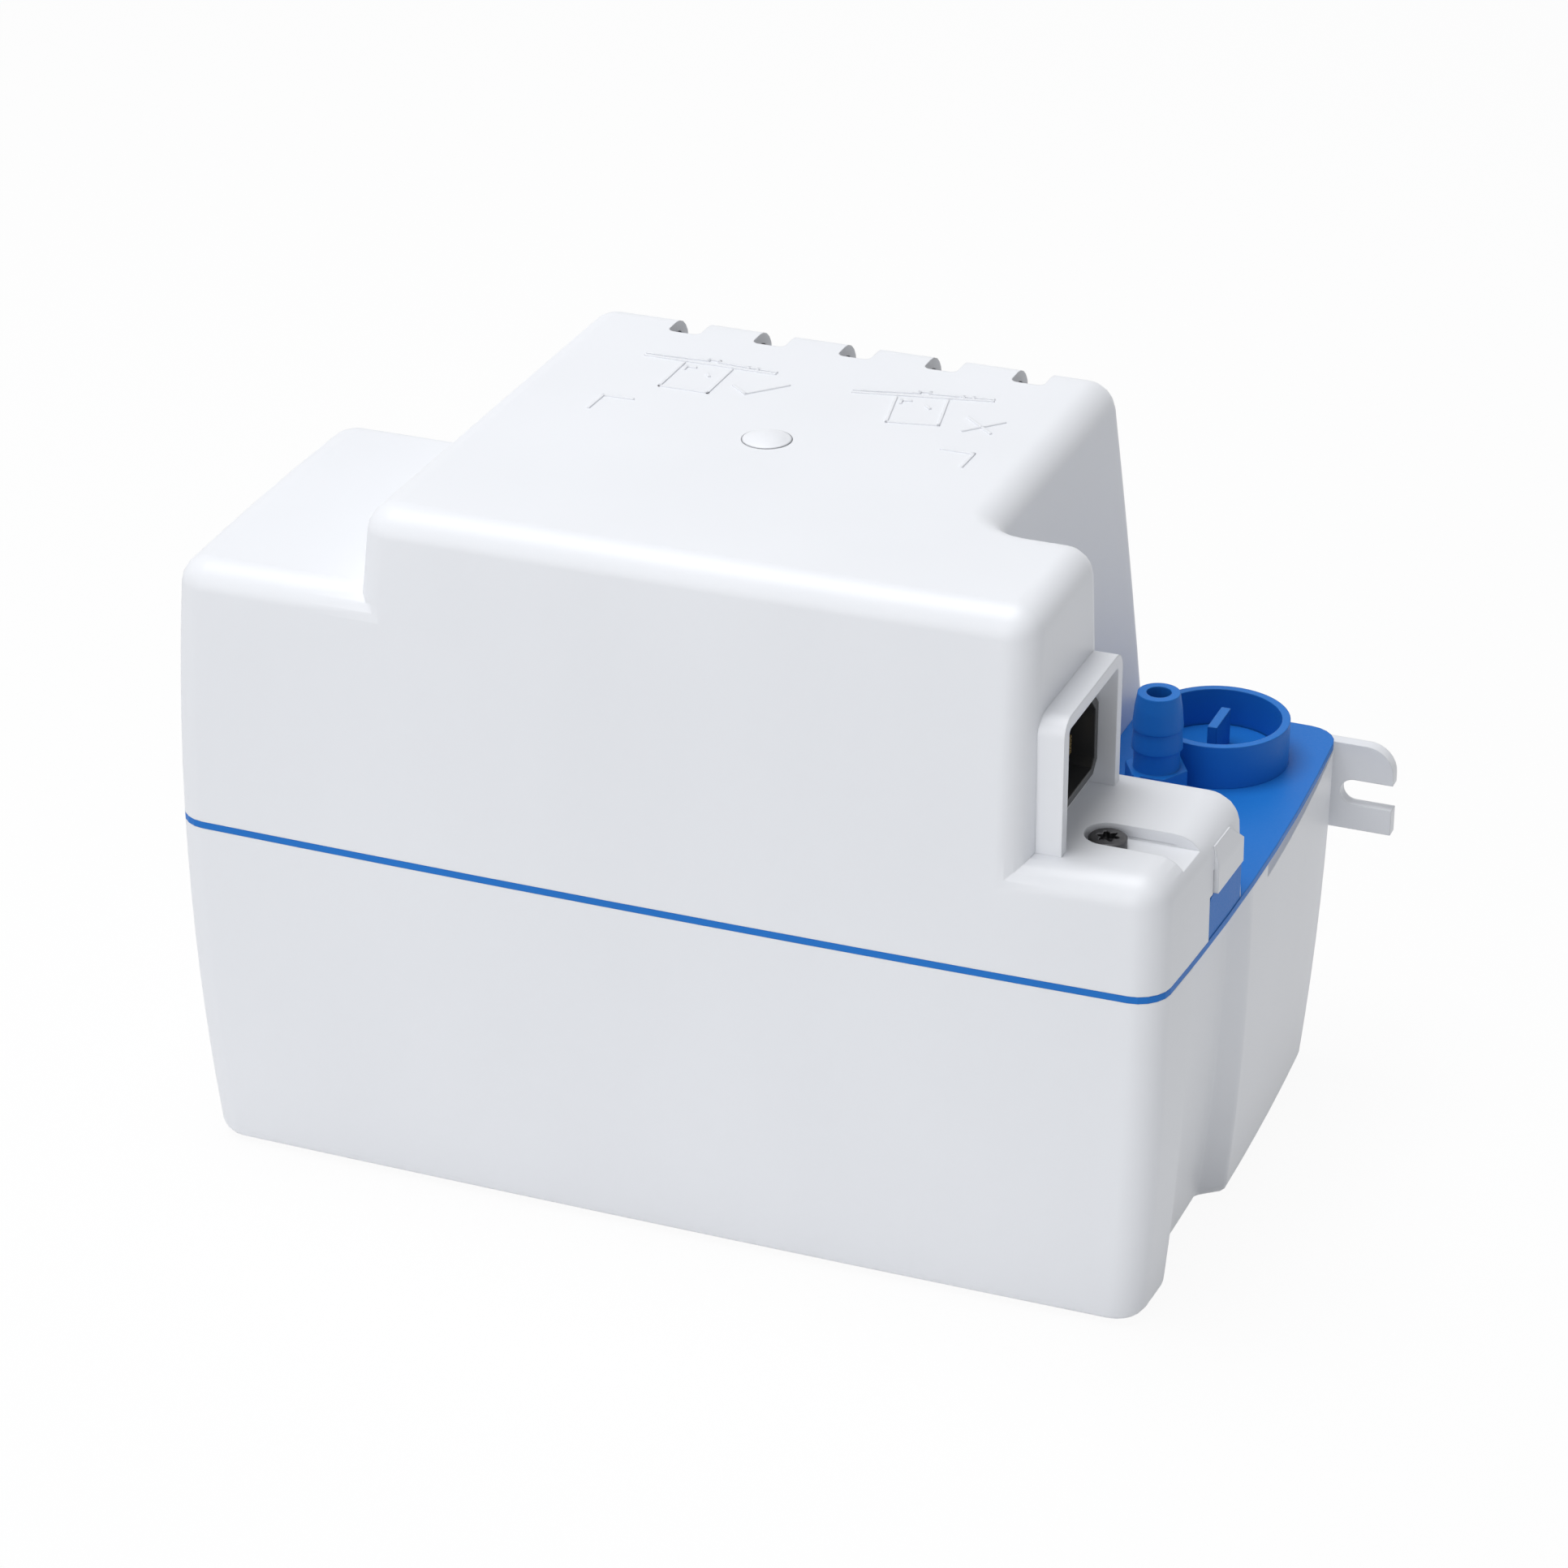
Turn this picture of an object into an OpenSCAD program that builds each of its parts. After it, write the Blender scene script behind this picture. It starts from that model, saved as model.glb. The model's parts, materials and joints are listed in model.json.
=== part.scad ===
// Tank condensate pump. X runs along the tank, -Y is the front, +Z is up.
// The origin is the middle of the footprint, on the surface that the tank stands on.

/* [Housing outline] */
// Half of the length at the rim, measured at the corners
rim_half_len = 110; // [104:0.5:120]
// Half of the depth at the rim, measured at the corners
rim_half_dep = 65.6; // [63:0.2:72]
// How far the middle of each end face bows out
end_bow = 2.7; // [0:0.1:4]
// How far the middle of the front and rear faces bows out
side_bow = 1.2; // [0:0.1:2]
// Radius of the barrel curve that draws the sides in above and below the rim
barrel_r = 870; // [700:10:1500]
// Radius of the upright corners
corner_r = 6.4; // [5:0.1:8]

/* [Tank] */
// Height of the tank up to its rim
tank_h = 79; // [74:0.5:90]
// Wall of the tank
tank_wall = 2.5; // [2:0.1:3.2]
// Rounding of the tank's bottom edge
tank_edge_r = 3.5; // [2:0.1:5]
// Depth of the channel in the right end, at the rim
channel_d = 2.8; // [2:0.1:4]
// How much deeper that channel gets toward the bottom
channel_more = 1.8; // [0:0.1:2.4]
// Distance of the channel's front edge from the rim's front
channel_fore = 19.6; // [14:0.2:22]
// Rear edge of the channel at the rim, forward of the middle
channel_rear = 9.4; // [7:0.2:14]

/* [Wall ears] */
// How far each ear stands out past the rim's corner
ear_out = 13.3; // [11:0.1:18]
// Height of each ear
ear_h = 20.8; // [17:0.1:24]
// Thickness of each ear
ear_t = 3.1; // [2.6:0.1:3.6]
// Width of the screw slot in each ear
ear_slot_w = 6.2; // [5:0.1:7]
// How far the slot's inner end centre stands out past the rim's corner
ear_slot_out = 4.5; // [3:0.1:6]

/* [Deck plate] */
// Thickness of the deck plate, seen as the stripe round the housing
deck_t = 1.6; // [1.4:0.1:2.2]
// Outer diameter of the inlet collars
collar_d = 31; // [28:0.2:33]
// Wall of the inlet collars
collar_wall = 1.8; // [1.4:0.1:2.4]
// Height of the inlet collars above the plate
collar_h = 9.9; // [8:0.1:14]
// How far the inlet centres stand further out than the outlet
collar_past = 7.3; // [6:0.1:9]

/* [Cover] */
// Height of the cover above the plate
cover_h = 77.8; // [74:0.2:84]
// Wall of the cover
cover_wall = 2.4; // [2:0.1:3]
// Rounding of the cover's top edges
top_r = 6; // [5:0.1:7]
// Height of the low left block above the plate
left_h = 59.3; // [52:0.1:64]
// Height of the low right shelf above the plate
shelf_h = 24.9; // [23:0.1:28]
// Width of each vent slot
vent_w = 7.6; // [6:0.1:9]
// Spacing of the vent slots
vent_pitch = 20.1; // [18:0.1:21]
// Number of vent slots
vent_count = 5; // [3:1:5]

/* [Outlet] */
// Outer diameter of the hose barb's ridges
barb_d = 11.1; // [10.6:0.1:12]
// Diameter of the barb's neck
neck_d = 10; // [9.6:0.1:10.4]
// Bore of the outlet
outlet_bore_d = 5.4; // [4.6:0.1:6]
// Distance of the outlet from the rim's right end
outlet_in = 28.5; // [27:0.1:30]
// Distance of the outlet from the rim's rear
outlet_fore = 44.2; // [43:0.1:47]

/* [Motor and pump] */
// Distance of the pump shaft from the middle, along the pump
pump_x = 10; // [8:0.5:12]
// Diameter of the pump shaft
shaft_d = 5; // [4.4:0.1:5.6]
// Diameter of the rotor
rotor_d = 26.6; // [24:0.2:27.4]
// Height of the lamination stack
stack_h = 24; // [20:0.5:26]
// Diameter of the impeller
impeller_d = 36; // [32:0.5:38]
// Number of impeller blades
impeller_blades = 6; // [5:1:8]
// Diameter of the cooling fan
fan_d = 56; // [48:1:58]
// Number of fan blades
fan_blades = 9; // [7:1:11]

/* [Level control] */
// Travel of the float
float_travel = 30; // [24:0.5:30]
// Diameter of the float
float_d = 46; // [40:0.5:48]
// Height of the float
float_h = 22; // [20:0.5:24]
// Travel of the switch plungers
plunger_travel = 1.2; // [0.8:0.1:1.4]

/* [Hidden] */

$fn = 48;

// Small shared values
cut = 1;
gap = 0.3;
slide_gap = 0.1;
fit_gap = 0.05;
overlap = 0.4;
min_r = 0.25;
arc_n = 5;
edge_n = 4;
fillet_n = 5;
bow_power = 8;

// Colours
white = [0.93, 0.94, 0.97];
blue = [0.13, 0.42, 0.73];
black = [0.09, 0.09, 0.1];
steel = [0.62, 0.63, 0.65];
copper = [0.72, 0.42, 0.22];
rubber = [0.14, 0.14, 0.14];
brass = [0.78, 0.64, 0.34];
amber = [0.88, 0.82, 0.66];

// Levels
deck_z = tank_h + deck_t;
top_z = deck_z + cover_h;
left_z = deck_z + left_h;
shelf_z = deck_z + shelf_h;

// Cover faces: where each stands at the top, and how much it leans out on the way down
block_left_in = 45.2;
block_left = rim_half_len - block_left_in;
block_left_lean = 0.08;
block_right_in = 52.2;
block_right = rim_half_len - block_right_in;
block_right_lean = 0.102;
tower_right_in = 28.8;
tower_right = rim_half_len - tower_right_in;
tower_back_in = 43.3;
tower_back = rim_half_dep - tower_back_in;
tower_back_lean = 0.13;
left_back_in = 45.6;
left_back = rim_half_dep - left_back_in;
left_back_lean = 0.1;
notch_r = 8;

function inset(z) = pow(z - tank_h, 2) / (2 * barrel_r);
function half_len(z) = rim_half_len - inset(z);
function half_dep(z) = rim_half_dep - inset(z);
function face_left(z) = -block_left - block_left_lean * (top_z - z);
function face_right(z) = block_right + block_right_lean * (top_z - z);
function face_notch(z) = -tower_back + tower_back_lean * (top_z - z);
function face_left_back(z) = left_back + left_back_lean * (left_z - z);

function end_bow_at(y) = end_bow * (1 - pow(y / rim_half_dep, 2));
function side_bow_at(x) = side_bow * (1 - pow(x / rim_half_len, 2));
function bowed(q) = [
    q.x + sign(q.x) * end_bow_at(q.y) * pow(abs(q.x) / rim_half_len, bow_power),
    q.y + sign(q.y) * side_bow_at(q.x) * pow(abs(q.y) / rim_half_dep, bow_power)
];

// A rounded corner at p between the directions d0 and d1
function corner(p, d0, d1, r) = [
    for (i = [0:arc_n]) let (a = 90 * i / arc_n)
        p - r * d0 + r * d1 - r * cos(a) * d1 + r * sin(a) * d0
];
function heading(a, b) = (b - a) / norm(b - a);

// A closed outline through square corners v with radii r, each side in parts pieces
function outline(v, r, parts) = [
    for (i = [0:len(v) - 1])
        let (p = v[i],
             a = v[(i + len(v) - 1) % len(v)],
             j = (i + 1) % len(v),
             d1 = heading(p, v[j]),
             s = p + r[i] * d1,
             e = v[j] - r[j] * d1)
        each concat(corner(p, heading(a, p), d1, r[i]),
                    [for (k = [1:1:parts[i] - 1]) s + (e - s) * k / parts[i]])
];
function bowed_outline(v, r, parts) = [for (q = outline(v, r, parts)) bowed(q)];
function lifted(ring, z) = [for (q = ring) [q.x, q.y, z]];
function convex_r(t) = max(corner_r - t, min_r);

// Side skins and caps of a stack of m rings of n points
function skin(n, m) = concat(
    [for (j = [0:m - 2], i = [0:n - 1]) let (k = (i + 1) % n)
        [j * n + i, (j + 1) * n + i, (j + 1) * n + k]],
    [for (j = [0:m - 2], i = [0:n - 1]) let (k = (i + 1) % n)
        [j * n + i, (j + 1) * n + k, j * n + k]],
    [[for (i = [0:n - 1]) i]],
    [[for (i = [n - 1:-1:0]) (m - 1) * n + i]]
);
module loft(rings) {
    polyhedron(points = [for (r = rings) each r],
               faces = skin(len(rings[0]), len(rings)), convexity = 6);
}

// Height and inset of each ring: upright from z0, then a fillet of radius f up to z1
function fillet_levels(z0, z1, f, n) = concat(
    [for (i = [0:n]) [z0 + (z1 - f - z0) * i / n, 0]],
    [for (i = [1:fillet_n]) let (a = 90 * i / fillet_n)
        [z1 - f + f * sin(a), f * (1 - cos(a))]]
);
// The same with the rounding at the bottom
function edge_levels(z0, z1, f, n) = concat(
    [for (i = [0:edge_n]) let (a = 90 * i / edge_n)
        [z0 + f * (1 - cos(a)), f * (1 - sin(a))]],
    [for (i = [1:n]) [z0 + f + (z1 - z0 - f) * i / n, 0]]
);

// Tank outline at height z, drawn in by t, with the grip channel in its right end
channel_front = rim_half_dep - channel_fore;
channel_edge_r = 0.8;
channel_ramp = 6.3;
channel_drift = 4;
function tank_ring(z, t) = let (
        a = half_len(z) - t,
        b = half_dep(z) - t,
        c = max(channel_edge_r - t, min_r),
        d = channel_edge_r + t,
        down = 1 - z / tank_h,
        floor_x = a - channel_d - channel_more * down,
        rear = t - channel_rear + channel_drift * down,
        ramp = channel_ramp * (1 - down / 3),
        r = convex_r(t))
    bowed_outline(
        [[-a, -b], [a, -b], [a, -channel_front - t], [floor_x, -channel_front - t],
         [floor_x, rear - ramp], [a, rear], [a, b], [-a, b]],
        [r, r, c, d, d, c, r, r],
        [7, 1, 1, 3, 1, 5, 7, 7]);
// Rim outline without the channel
function rim_ring(t) = let (a = rim_half_len - t, b = rim_half_dep - t, r = convex_r(t))
    bowed_outline([[-a, -b], [a, -b], [a, b], [-a, b]], [r, r, r, r], [9, 7, 9, 7]);

// Wall ears
ear_reach = rim_half_len + ear_out;
ear_slot_x = rim_half_len + ear_slot_out;
ear_top = tank_h - gap;
ear_slot_drop = 1.3;
ear_slot_z = ear_top - ear_h / 2 - ear_slot_drop;
ear_corner_r = 6.4;
ear_root = 12;
ear_back = rim_half_dep + side_bow;
// Finger hollow under the plate's right edge
hollow_r = 4;
hollow_end_r = 0.6;
hollow_depth = 1.6;
hollow_front = 2;
hollow_rear = rim_half_dep - corner_r;

module upright_plate(t) {
    rotate([90, 0, 0]) translate([0, 0, -t]) linear_extrude(t) children();
}

module ear() {
    difference() {
        translate([0, ear_back - ear_t, 0])
            hull() {
                translate([ear_reach - ear_corner_r, 0, ear_top - ear_corner_r])
                    rotate([-90, 0, 0]) cylinder(r = ear_corner_r, h = ear_t, $fn = 32);
                translate([rim_half_len - ear_root, 0, ear_top - ear_h])
                    cube([ear_root, ear_t, ear_h]);
                translate([ear_reach - cut, 0, ear_top - ear_h])
                    cube([cut, ear_t, cut]);
            }
        translate([0, ear_back - ear_t - cut, 0])
            hull() {
                for (x = [ear_slot_x, ear_reach + ear_slot_w])
                    translate([x, 0, ear_slot_z])
                        rotate([-90, 0, 0])
                            cylinder(d = ear_slot_w, h = ear_t + 2 * cut, $fn = 32);
            }
    }
}

// Ribs on the tank floor that keep the pump centred
floor_rib_r = 1.2;
floor_rib_reach = 9;
inner_edge_trim = 1;
floor_rib_h = 5;

module tank() {
    color(white) {
        difference() {
            loft([for (l = edge_levels(0, tank_h, tank_edge_r, 8))
                lifted(tank_ring(l[0], l[1]), l[0])]);
            loft([for (l = edge_levels(tank_wall, tank_h + cut, tank_edge_r - inner_edge_trim, 4))
                lifted(tank_ring(l[0], l[1] + tank_wall), l[0])]);
            hull() {
                translate([rim_half_len + end_bow + hollow_r - hollow_depth, hollow_front, tank_h])
                    rotate([-90, 0, 0]) cylinder(r = hollow_r, h = cut, $fn = 32);
                translate([rim_half_len + hollow_end_r, hollow_rear, tank_h])
                    rotate([-90, 0, 0]) cylinder(r = hollow_end_r, h = cut, $fn = 32);
            }
        }
        ear();
        mirror([1, 0, 0]) ear();
        for (a = [90, 210, 330])
            translate([pump_x, pump_y, tank_wall - overlap])
                rotate([0, 0, a])
                    hull() {
                        for (x = [casing_r + gap + floor_rib_r, casing_r + floor_rib_reach])
                            translate([x, 0, 0])
                                cylinder(r = floor_rib_r, h = floor_rib_h, $fn = 32);
                    }
    }
}

// Skirt of the deck plate and its gasket
gasket_t = 1.2;
gasket_h = 2.4;
skirt_t = 1.6;
skirt_h = 5;
function skirt_in(t) = tank_wall + t;

module rim_band(t0, t1, z, h) {
    translate([0, 0, z])
        linear_extrude(h)
            difference() {
                polygon(tank_ring(tank_h, t0));
                polygon(tank_ring(tank_h, t1));
            }
}

module deck_gasket() {
    color(rubber)
        rim_band(skirt_in(slide_gap), skirt_in(gasket_t), tank_h - gasket_h - gap, gasket_h);
}

// Cover screw and the post that takes it
screw_head_r = 4;
screw_head_h = 2.4;
screw_r = 1.9;
screw_len = 16;
recess_r = 4.9;
recess_fore = 19.5;
recess_y = recess_fore - rim_half_dep;
recess_in = 17.8;
recess_x = rim_half_len - recess_in;
recess_deep = 2.9;
recess_floor = shelf_z - recess_deep;
pan_t = 3;
screw_socket_share = 0.42;
post_r = 4.6;
post_top = recess_floor - pan_t - gap;

// Latch window in the cover's right wall, and the wall of the deck that shows in it
latch_fore = 27.7;
latch_w = 20.6;
latch_front = latch_fore - rim_half_dep;
latch_rear = latch_front + latch_w;
latch_slit = 0.6;
latch_rise = 10;
latch_tab_z = deck_z + latch_rise;
latch_slit_h = 5.4;
latch_top = latch_tab_z + latch_slit_h;
slit_in = 1.8;
wedge_out = 0.9;
wedge_h = 10.2;
wedge_face_h = 6;
wedge_corner = 6.4;
upstand_h = latch_tab_z - deck_z - gap;
upstand_t = 2.6;
upstand_chamfer = 1.6;

// Inlets
inlet_r = 11.8;
collar_r = collar_d / 2;
socket_r = collar_r - collar_wall;
collar_foot_r = collar_r - collar_wall / 2;
inlet_spigot = 9;
base_space = 6.3;
outlet_x = rim_half_len - outlet_in;
outlet_y = rim_half_dep - outlet_fore;
collar_x = outlet_x + collar_past;
collar_y = outlet_y + base_space + collar_r;

// Pump shaft and outlet
casing_rim = 6;
casing_r = impeller_d / 2 + casing_rim;
discharge_in = 7;
discharge_offset = casing_r - discharge_in;
pump_y = outlet_y - discharge_offset;
rod_in = 55;
rod_x = rod_in - rim_half_len;
rod_y = -10;
rod_r = 4;
switch_step = 20.4;
switch_long = 19.8;
cam_rise = 35.4;
cam_top = deck_z + cam_rise;
cam_len = switch_step + float_travel;
rod_tip_r = rod_r - plunger_travel * cam_len / float_travel;
guide_wall = 2;
guide_drop = 5;
guide_low = tank_h - guide_drop;
guide_high = cam_top - switch_step - switch_long / 2 - gap;

// Outlet socket under the deck
spigot_r = 6.4;
socket_wall = 2;
socket_drop = 17;
socket_low = tank_h - socket_drop;
tube_r = 5;
tube_bore_r = 3.5;

// Posts that carry the motor
motor_post_r = 5;
stack_rise = 17;
stack_z = deck_z + stack_rise;
bracket_t = 2.4;
bracket_rise = 7;
motor_screw_y = 20;
motor_screw_r = 1.9;
motor_post_top = stack_z - slide_gap - bracket_rise - bracket_t;

// Locating ribs inside the cover's lower edge
rib_len = 14;
rib_t = 1.6;
rib_h = 3;

// Inlet collar: a ring on the deck, its foot in the deck's hole and its spigot below
module collar(x) {
    translate([x, collar_y, 0])
        difference() {
            union() {
                translate([0, 0, deck_z]) cylinder(r = collar_r, h = collar_h);
                translate([0, 0, tank_h]) cylinder(r = collar_foot_r, h = deck_t + overlap);
                translate([0, 0, tank_h - inlet_spigot])
                    cylinder(r = inlet_r + collar_wall, h = inlet_spigot + overlap);
            }
            translate([0, 0, deck_z]) cylinder(r = socket_r, h = collar_h + cut);
            translate([0, 0, tank_h - inlet_spigot - cut])
                cylinder(r = inlet_r, h = inlet_spigot + deck_t + 2 * cut);
        }
}

module inlet_collars() {
    color(blue) {
        collar(collar_x);
        collar(-collar_x);
    }
}

module locating_rib(x, y, a) {
    translate([x, y, deck_z])
        rotate([0, 0, a]) translate([-rib_len / 2, 0, 0]) cube([rib_len, rib_t, rib_h]);
}

module deck_plate() {
    rib_in = cover_wall + gap + rib_t;
    color(blue) {
        difference() {
            union() {
                translate([0, 0, tank_h]) linear_extrude(deck_t) polygon(rim_ring(0));
                rim_band(skirt_in(gasket_t + slide_gap), skirt_in(gasket_t + slide_gap + skirt_t),
                         tank_h - skirt_h, skirt_h + overlap);
                translate([outlet_x, outlet_y, socket_low])
                    cylinder(r = spigot_r + gap + socket_wall, h = deck_z - socket_low);
                translate([rod_x, rod_y, guide_low])
                    cylinder(r = rod_r + gap + guide_wall, h = guide_high - guide_low);
                translate([recess_x, recess_y, deck_z - overlap])
                    cylinder(r = post_r, h = post_top - deck_z + overlap);
                for (s = [-1, 1])
                    translate([pump_x, pump_y + s * motor_screw_y, deck_z - overlap])
                        cylinder(r = motor_post_r, h = motor_post_top - deck_z + overlap);
                intersection() {
                    translate([0, 0, deck_z - overlap])
                        linear_extrude(upstand_h + overlap) polygon(rim_ring(gap / 2));
                    translate([rim_half_len + end_bow - upstand_t - gap, latch_front + gap,
                               deck_z - overlap])
                        cube([upstand_t + end_bow, latch_rear - latch_front - 2 * gap,
                              upstand_h + overlap]);
                }
            }
            for (s = [-1, 1])
                translate([s * collar_x, collar_y, tank_h - cut])
                    cylinder(r = collar_foot_r + fit_gap, h = deck_t + 2 * cut);
            translate([outlet_x, outlet_y, socket_low + tube_seat_h])
                cylinder(r = spigot_r + gap, h = deck_z - socket_low);
            translate([outlet_x, outlet_y, socket_low - cut])
                cylinder(r = tube_r + slide_gap, h = tube_seat_h + 2 * cut);
            translate([rod_x, rod_y, guide_low - cut])
                cylinder(r = rod_r + gap, h = guide_high - guide_low + 2 * cut);
            translate([pump_x, pump_y, tank_h - cut])
                cylinder(r = shaft_d / 2 + shaft_hole_space, h = deck_t + 2 * cut);
            translate([recess_x, recess_y, post_top - screw_len])
                cylinder(r = screw_r + fit_gap, h = screw_len + cut);
            for (s = [-1, 1])
                translate([pump_x, pump_y + s * motor_screw_y, deck_z + deck_t])
                    cylinder(r = motor_screw_r + fit_gap, h = motor_post_top);
            translate([rim_half_len, latch_front + gap, deck_z + upstand_h])
                rotate([45, 0, 0])
                    cube([4 * upstand_t, upstand_chamfer, upstand_chamfer], center = true);
        }
        for (share = front_rib_shares)
            locating_rib(share * rim_half_len, -half_dep(deck_z) + cover_wall + gap, 0);
        for (side = [-1, 0, 1])
            locating_rib(side * rib_step, half_dep(deck_z) - rib_in, 0);
        for (y = [-rib_step, 0])
            locating_rib(-half_len(deck_z) + rib_in, y, 90);
    }
}
tube_seat_h = 4;
shaft_hole_space = 1.5;
rib_step = 40;
front_rib_shares = [-8 / 11, -3 / 11, 2 / 11, 6 / 11];

// Cover blocks: rings of each at height z, drawn in by t
function main_ring(z, t) = let (
        x0 = face_left(z) + t,
        x1 = tower_right - t,
        x2 = face_right(z) - t,
        b = half_dep(z) - t,
        y = face_notch(z) - t,
        r = convex_r(t))
    bowed_outline(
        [[x0, -b], [x1, -b], [x1, y], [x2, y], [x2, b], [x0, b]],
        [r, r, r, notch_r + t, r, r],
        [5, 2, 1, 3, 5, 2]);
function left_ring(z, t) = let (
        x0 = -half_len(z) + t,
        x1 = face_left(z) + corner_r + overlap,
        y0 = -half_dep(z) + t,
        y1 = face_left_back(z) - t,
        r = convex_r(t))
    bowed_outline([[x0, y0], [x1, y0], [x1, y1], [x0, y1]],
                  [r, min_r, min_r, r], [2, 1, 2, 4]);
function shelf_ring(z, t) = let (
        x0 = tower_right - corner_r - overlap,
        x1 = half_len(z) - t,
        y0 = -half_dep(z) + t,
        y1 = face_notch(z) - t,
        r = convex_r(t))
    bowed_outline([[x0, y0], [x1, y0], [x1, y1], [x0, y1]],
                  [min_r, r, r, min_r], [2, 4, 2, 1]);

module cover_blocks(t, z0, drop, n) {
    f = max(top_r - t, 1);
    loft([for (l = fillet_levels(z0, top_z - drop, f, n)) lifted(main_ring(l[0], l[1] + t), l[0])]);
    loft([for (l = fillet_levels(z0, left_z - drop, f, n)) lifted(left_ring(l[0], l[1] + t), l[0])]);
    loft([for (l = fillet_levels(z0, shelf_z - drop, f, 2)) lifted(shelf_ring(l[0], l[1] + t), l[0])]);
}

// Vent slots across the top rear edge
vent_reach = 15.7;
vent_front = rim_half_dep - vent_reach;
vent_end_r = 1.6;
vent_h = 24;

module vent(x) {
    front = vent_front + side_bow_at(x);
    hull() {
        for (s = [-1, 1])
            translate([x + s * (vent_w / 2 - vent_end_r), front + vent_end_r, top_z - vent_h])
                cylinder(r = vent_end_r, h = vent_h + cut, $fn = 24);
        translate([x - vent_w / 2, rim_half_dep, top_z - vent_h])
            cube([vent_w, side_bow + cut, vent_h + cut]);
    }
}

// Low button in the middle of the top
button_r = 5.2;
button_h = 1.3;
button_y = 1.6;

module top_button() {
    translate([0, button_y, top_z - button_h])
        scale([1, 1, 2 * button_h / button_r]) sphere(r = button_r, $fn = 24);
}

// Shroud round the power inlet
shroud_past = 5.6;
shroud_out = tower_right + shroud_past;
shroud_fore = 6.3;
shroud_front = shroud_fore - rim_half_dep;
shroud_w = 36.9;
shroud_rear = shroud_front + shroud_w;
shroud_rise = 29.9;
shroud_top = shelf_z + shroud_rise;
shroud_wall = 2.9;
shroud_r = 4;

module shroud_shape(x0, x1, t, low) {
    hull() {
        for (y = [shroud_front + shroud_r, shroud_rear - shroud_r])
            translate([x0, y, shroud_top - shroud_r])
                rotate([0, 90, 0]) cylinder(r = shroud_r - t, h = x1 - x0, $fn = 32);
        translate([x0, shroud_front + t, low])
            cube([x1 - x0, shroud_rear - shroud_front - 2 * t, cut]);
    }
}

// Power inlet: a bezel with two clipped top corners
inlet_w = 28;
inlet_h = 19.9;
inlet_y = (shroud_front + shroud_rear) / 2;
inlet_rise = 13.9;
inlet_z = shelf_z + inlet_rise;
inlet_past = 2.1;
inlet_face = tower_right + inlet_past;
inlet_rim = 1.7;
inlet_cut = 4.6;
inlet_low_cut = 2.4;
inlet_depth = 16;
inlet_body_len = 22;
inlet_seat = tower_right + gap;

function inlet_outline(t) = let (
        w = inlet_w / 2 - t,
        h = inlet_h / 2 - t,
        c = inlet_cut - t / 2,
        d = inlet_low_cut - t / 2)
    [[-w, -h + d], [-w + d, -h], [w - d, -h], [w, -h + d],
     [w, h - c], [w - c, h], [-w + c, h], [-w, h - c]];

module inlet_prism(x0, x1, t) {
    translate([x0, inlet_y, inlet_z])
        rotate([90, 0, 90]) linear_extrude(x1 - x0) polygon(inlet_outline(t));
}

// Raised face of the snap tab, with a sloped top and one clipped corner
module latch_wedge() {
    y0 = latch_front + slit_in + latch_slit;
    y1 = latch_rear - slit_in - latch_slit - overlap;
    face_z = latch_tab_z + wedge_face_h;
    wedge_top = latch_tab_z + wedge_h;
    hull() {
        for (e = [[y0, latch_tab_z, wedge_out], [y1, latch_tab_z, wedge_out],
                  [y0, face_z, wedge_out], [y1, face_z - wedge_out, wedge_out],
                  [y0, wedge_top, 0], [y1 - wedge_corner, wedge_top, 0],
                  [y1, wedge_top - wedge_corner, wedge_out]])
            translate([half_len(e[1]) + end_bow_at(e[0]) - cover_wall, e[0], e[1]])
                cube([cover_wall + e[2], overlap, overlap]);
    }
}

module cover() {
    color(white) {
        difference() {
            union() {
                difference() {
                    cover_blocks(0, deck_z, 0, 5);
                    cover_blocks(cover_wall, deck_z - cut, cover_wall, 3);
                }
                hull() {
                    translate([recess_x, recess_y, recess_floor - pan_t])
                        cylinder(r = recess_r + pan_t, h = pan_t + overlap, $fn = 32);
                    translate([half_len(shelf_z) - cover_wall, recess_y - recess_r - pan_t,
                               recess_floor - pan_t])
                        cube([overlap, 2 * (recess_r + pan_t), pan_t + overlap]);
                }
                shroud_shape(tower_right - cut, shroud_out, 0, shelf_z - cut);
                top_button();
                latch_wedge();
            }
            shroud_shape(tower_right, shroud_out + cut, shroud_wall, shelf_z);
            inlet_prism(tower_right - 2 * cover_wall, tower_right + cover_wall,
                        inlet_rim / 2 - gap);
            hull() {
                for (x = [recess_x, rim_half_len + end_bow + recess_r])
                    translate([x, recess_y, recess_floor])
                        cylinder(r = recess_r, h = shelf_z - recess_floor + cut, $fn = 32);
            }
            translate([recess_x, recess_y, recess_floor - pan_t - cut])
                cylinder(r = screw_r + gap, h = pan_t + 2 * cut, $fn = 24);
            for (i = [0:vent_count - 1])
                vent((i - (vent_count - 1) / 2) * vent_pitch);
            translate([rim_half_len - 2 * cover_wall, latch_front, deck_z - cut])
                cube([3 * cover_wall + end_bow, latch_rear - latch_front,
                      latch_tab_z - deck_z + cut]);
            for (y = [latch_front + slit_in, latch_rear - slit_in - latch_slit])
                translate([rim_half_len - 2 * cover_wall, y, deck_z])
                    cube([4 * cover_wall + end_bow, latch_slit, latch_top - deck_z]);
        }
    }
}

module pan_screw(len, r, head_r, head_h) {
    difference() {
        union() {
            translate([0, 0, -len]) cylinder(r = r, h = len + overlap);
            cylinder(r = head_r, h = head_h);
        }
        translate([0, 0, head_h / 2]) cylinder(r = head_r * screw_socket_share, h = head_h, $fn = 6);
    }
}

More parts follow.
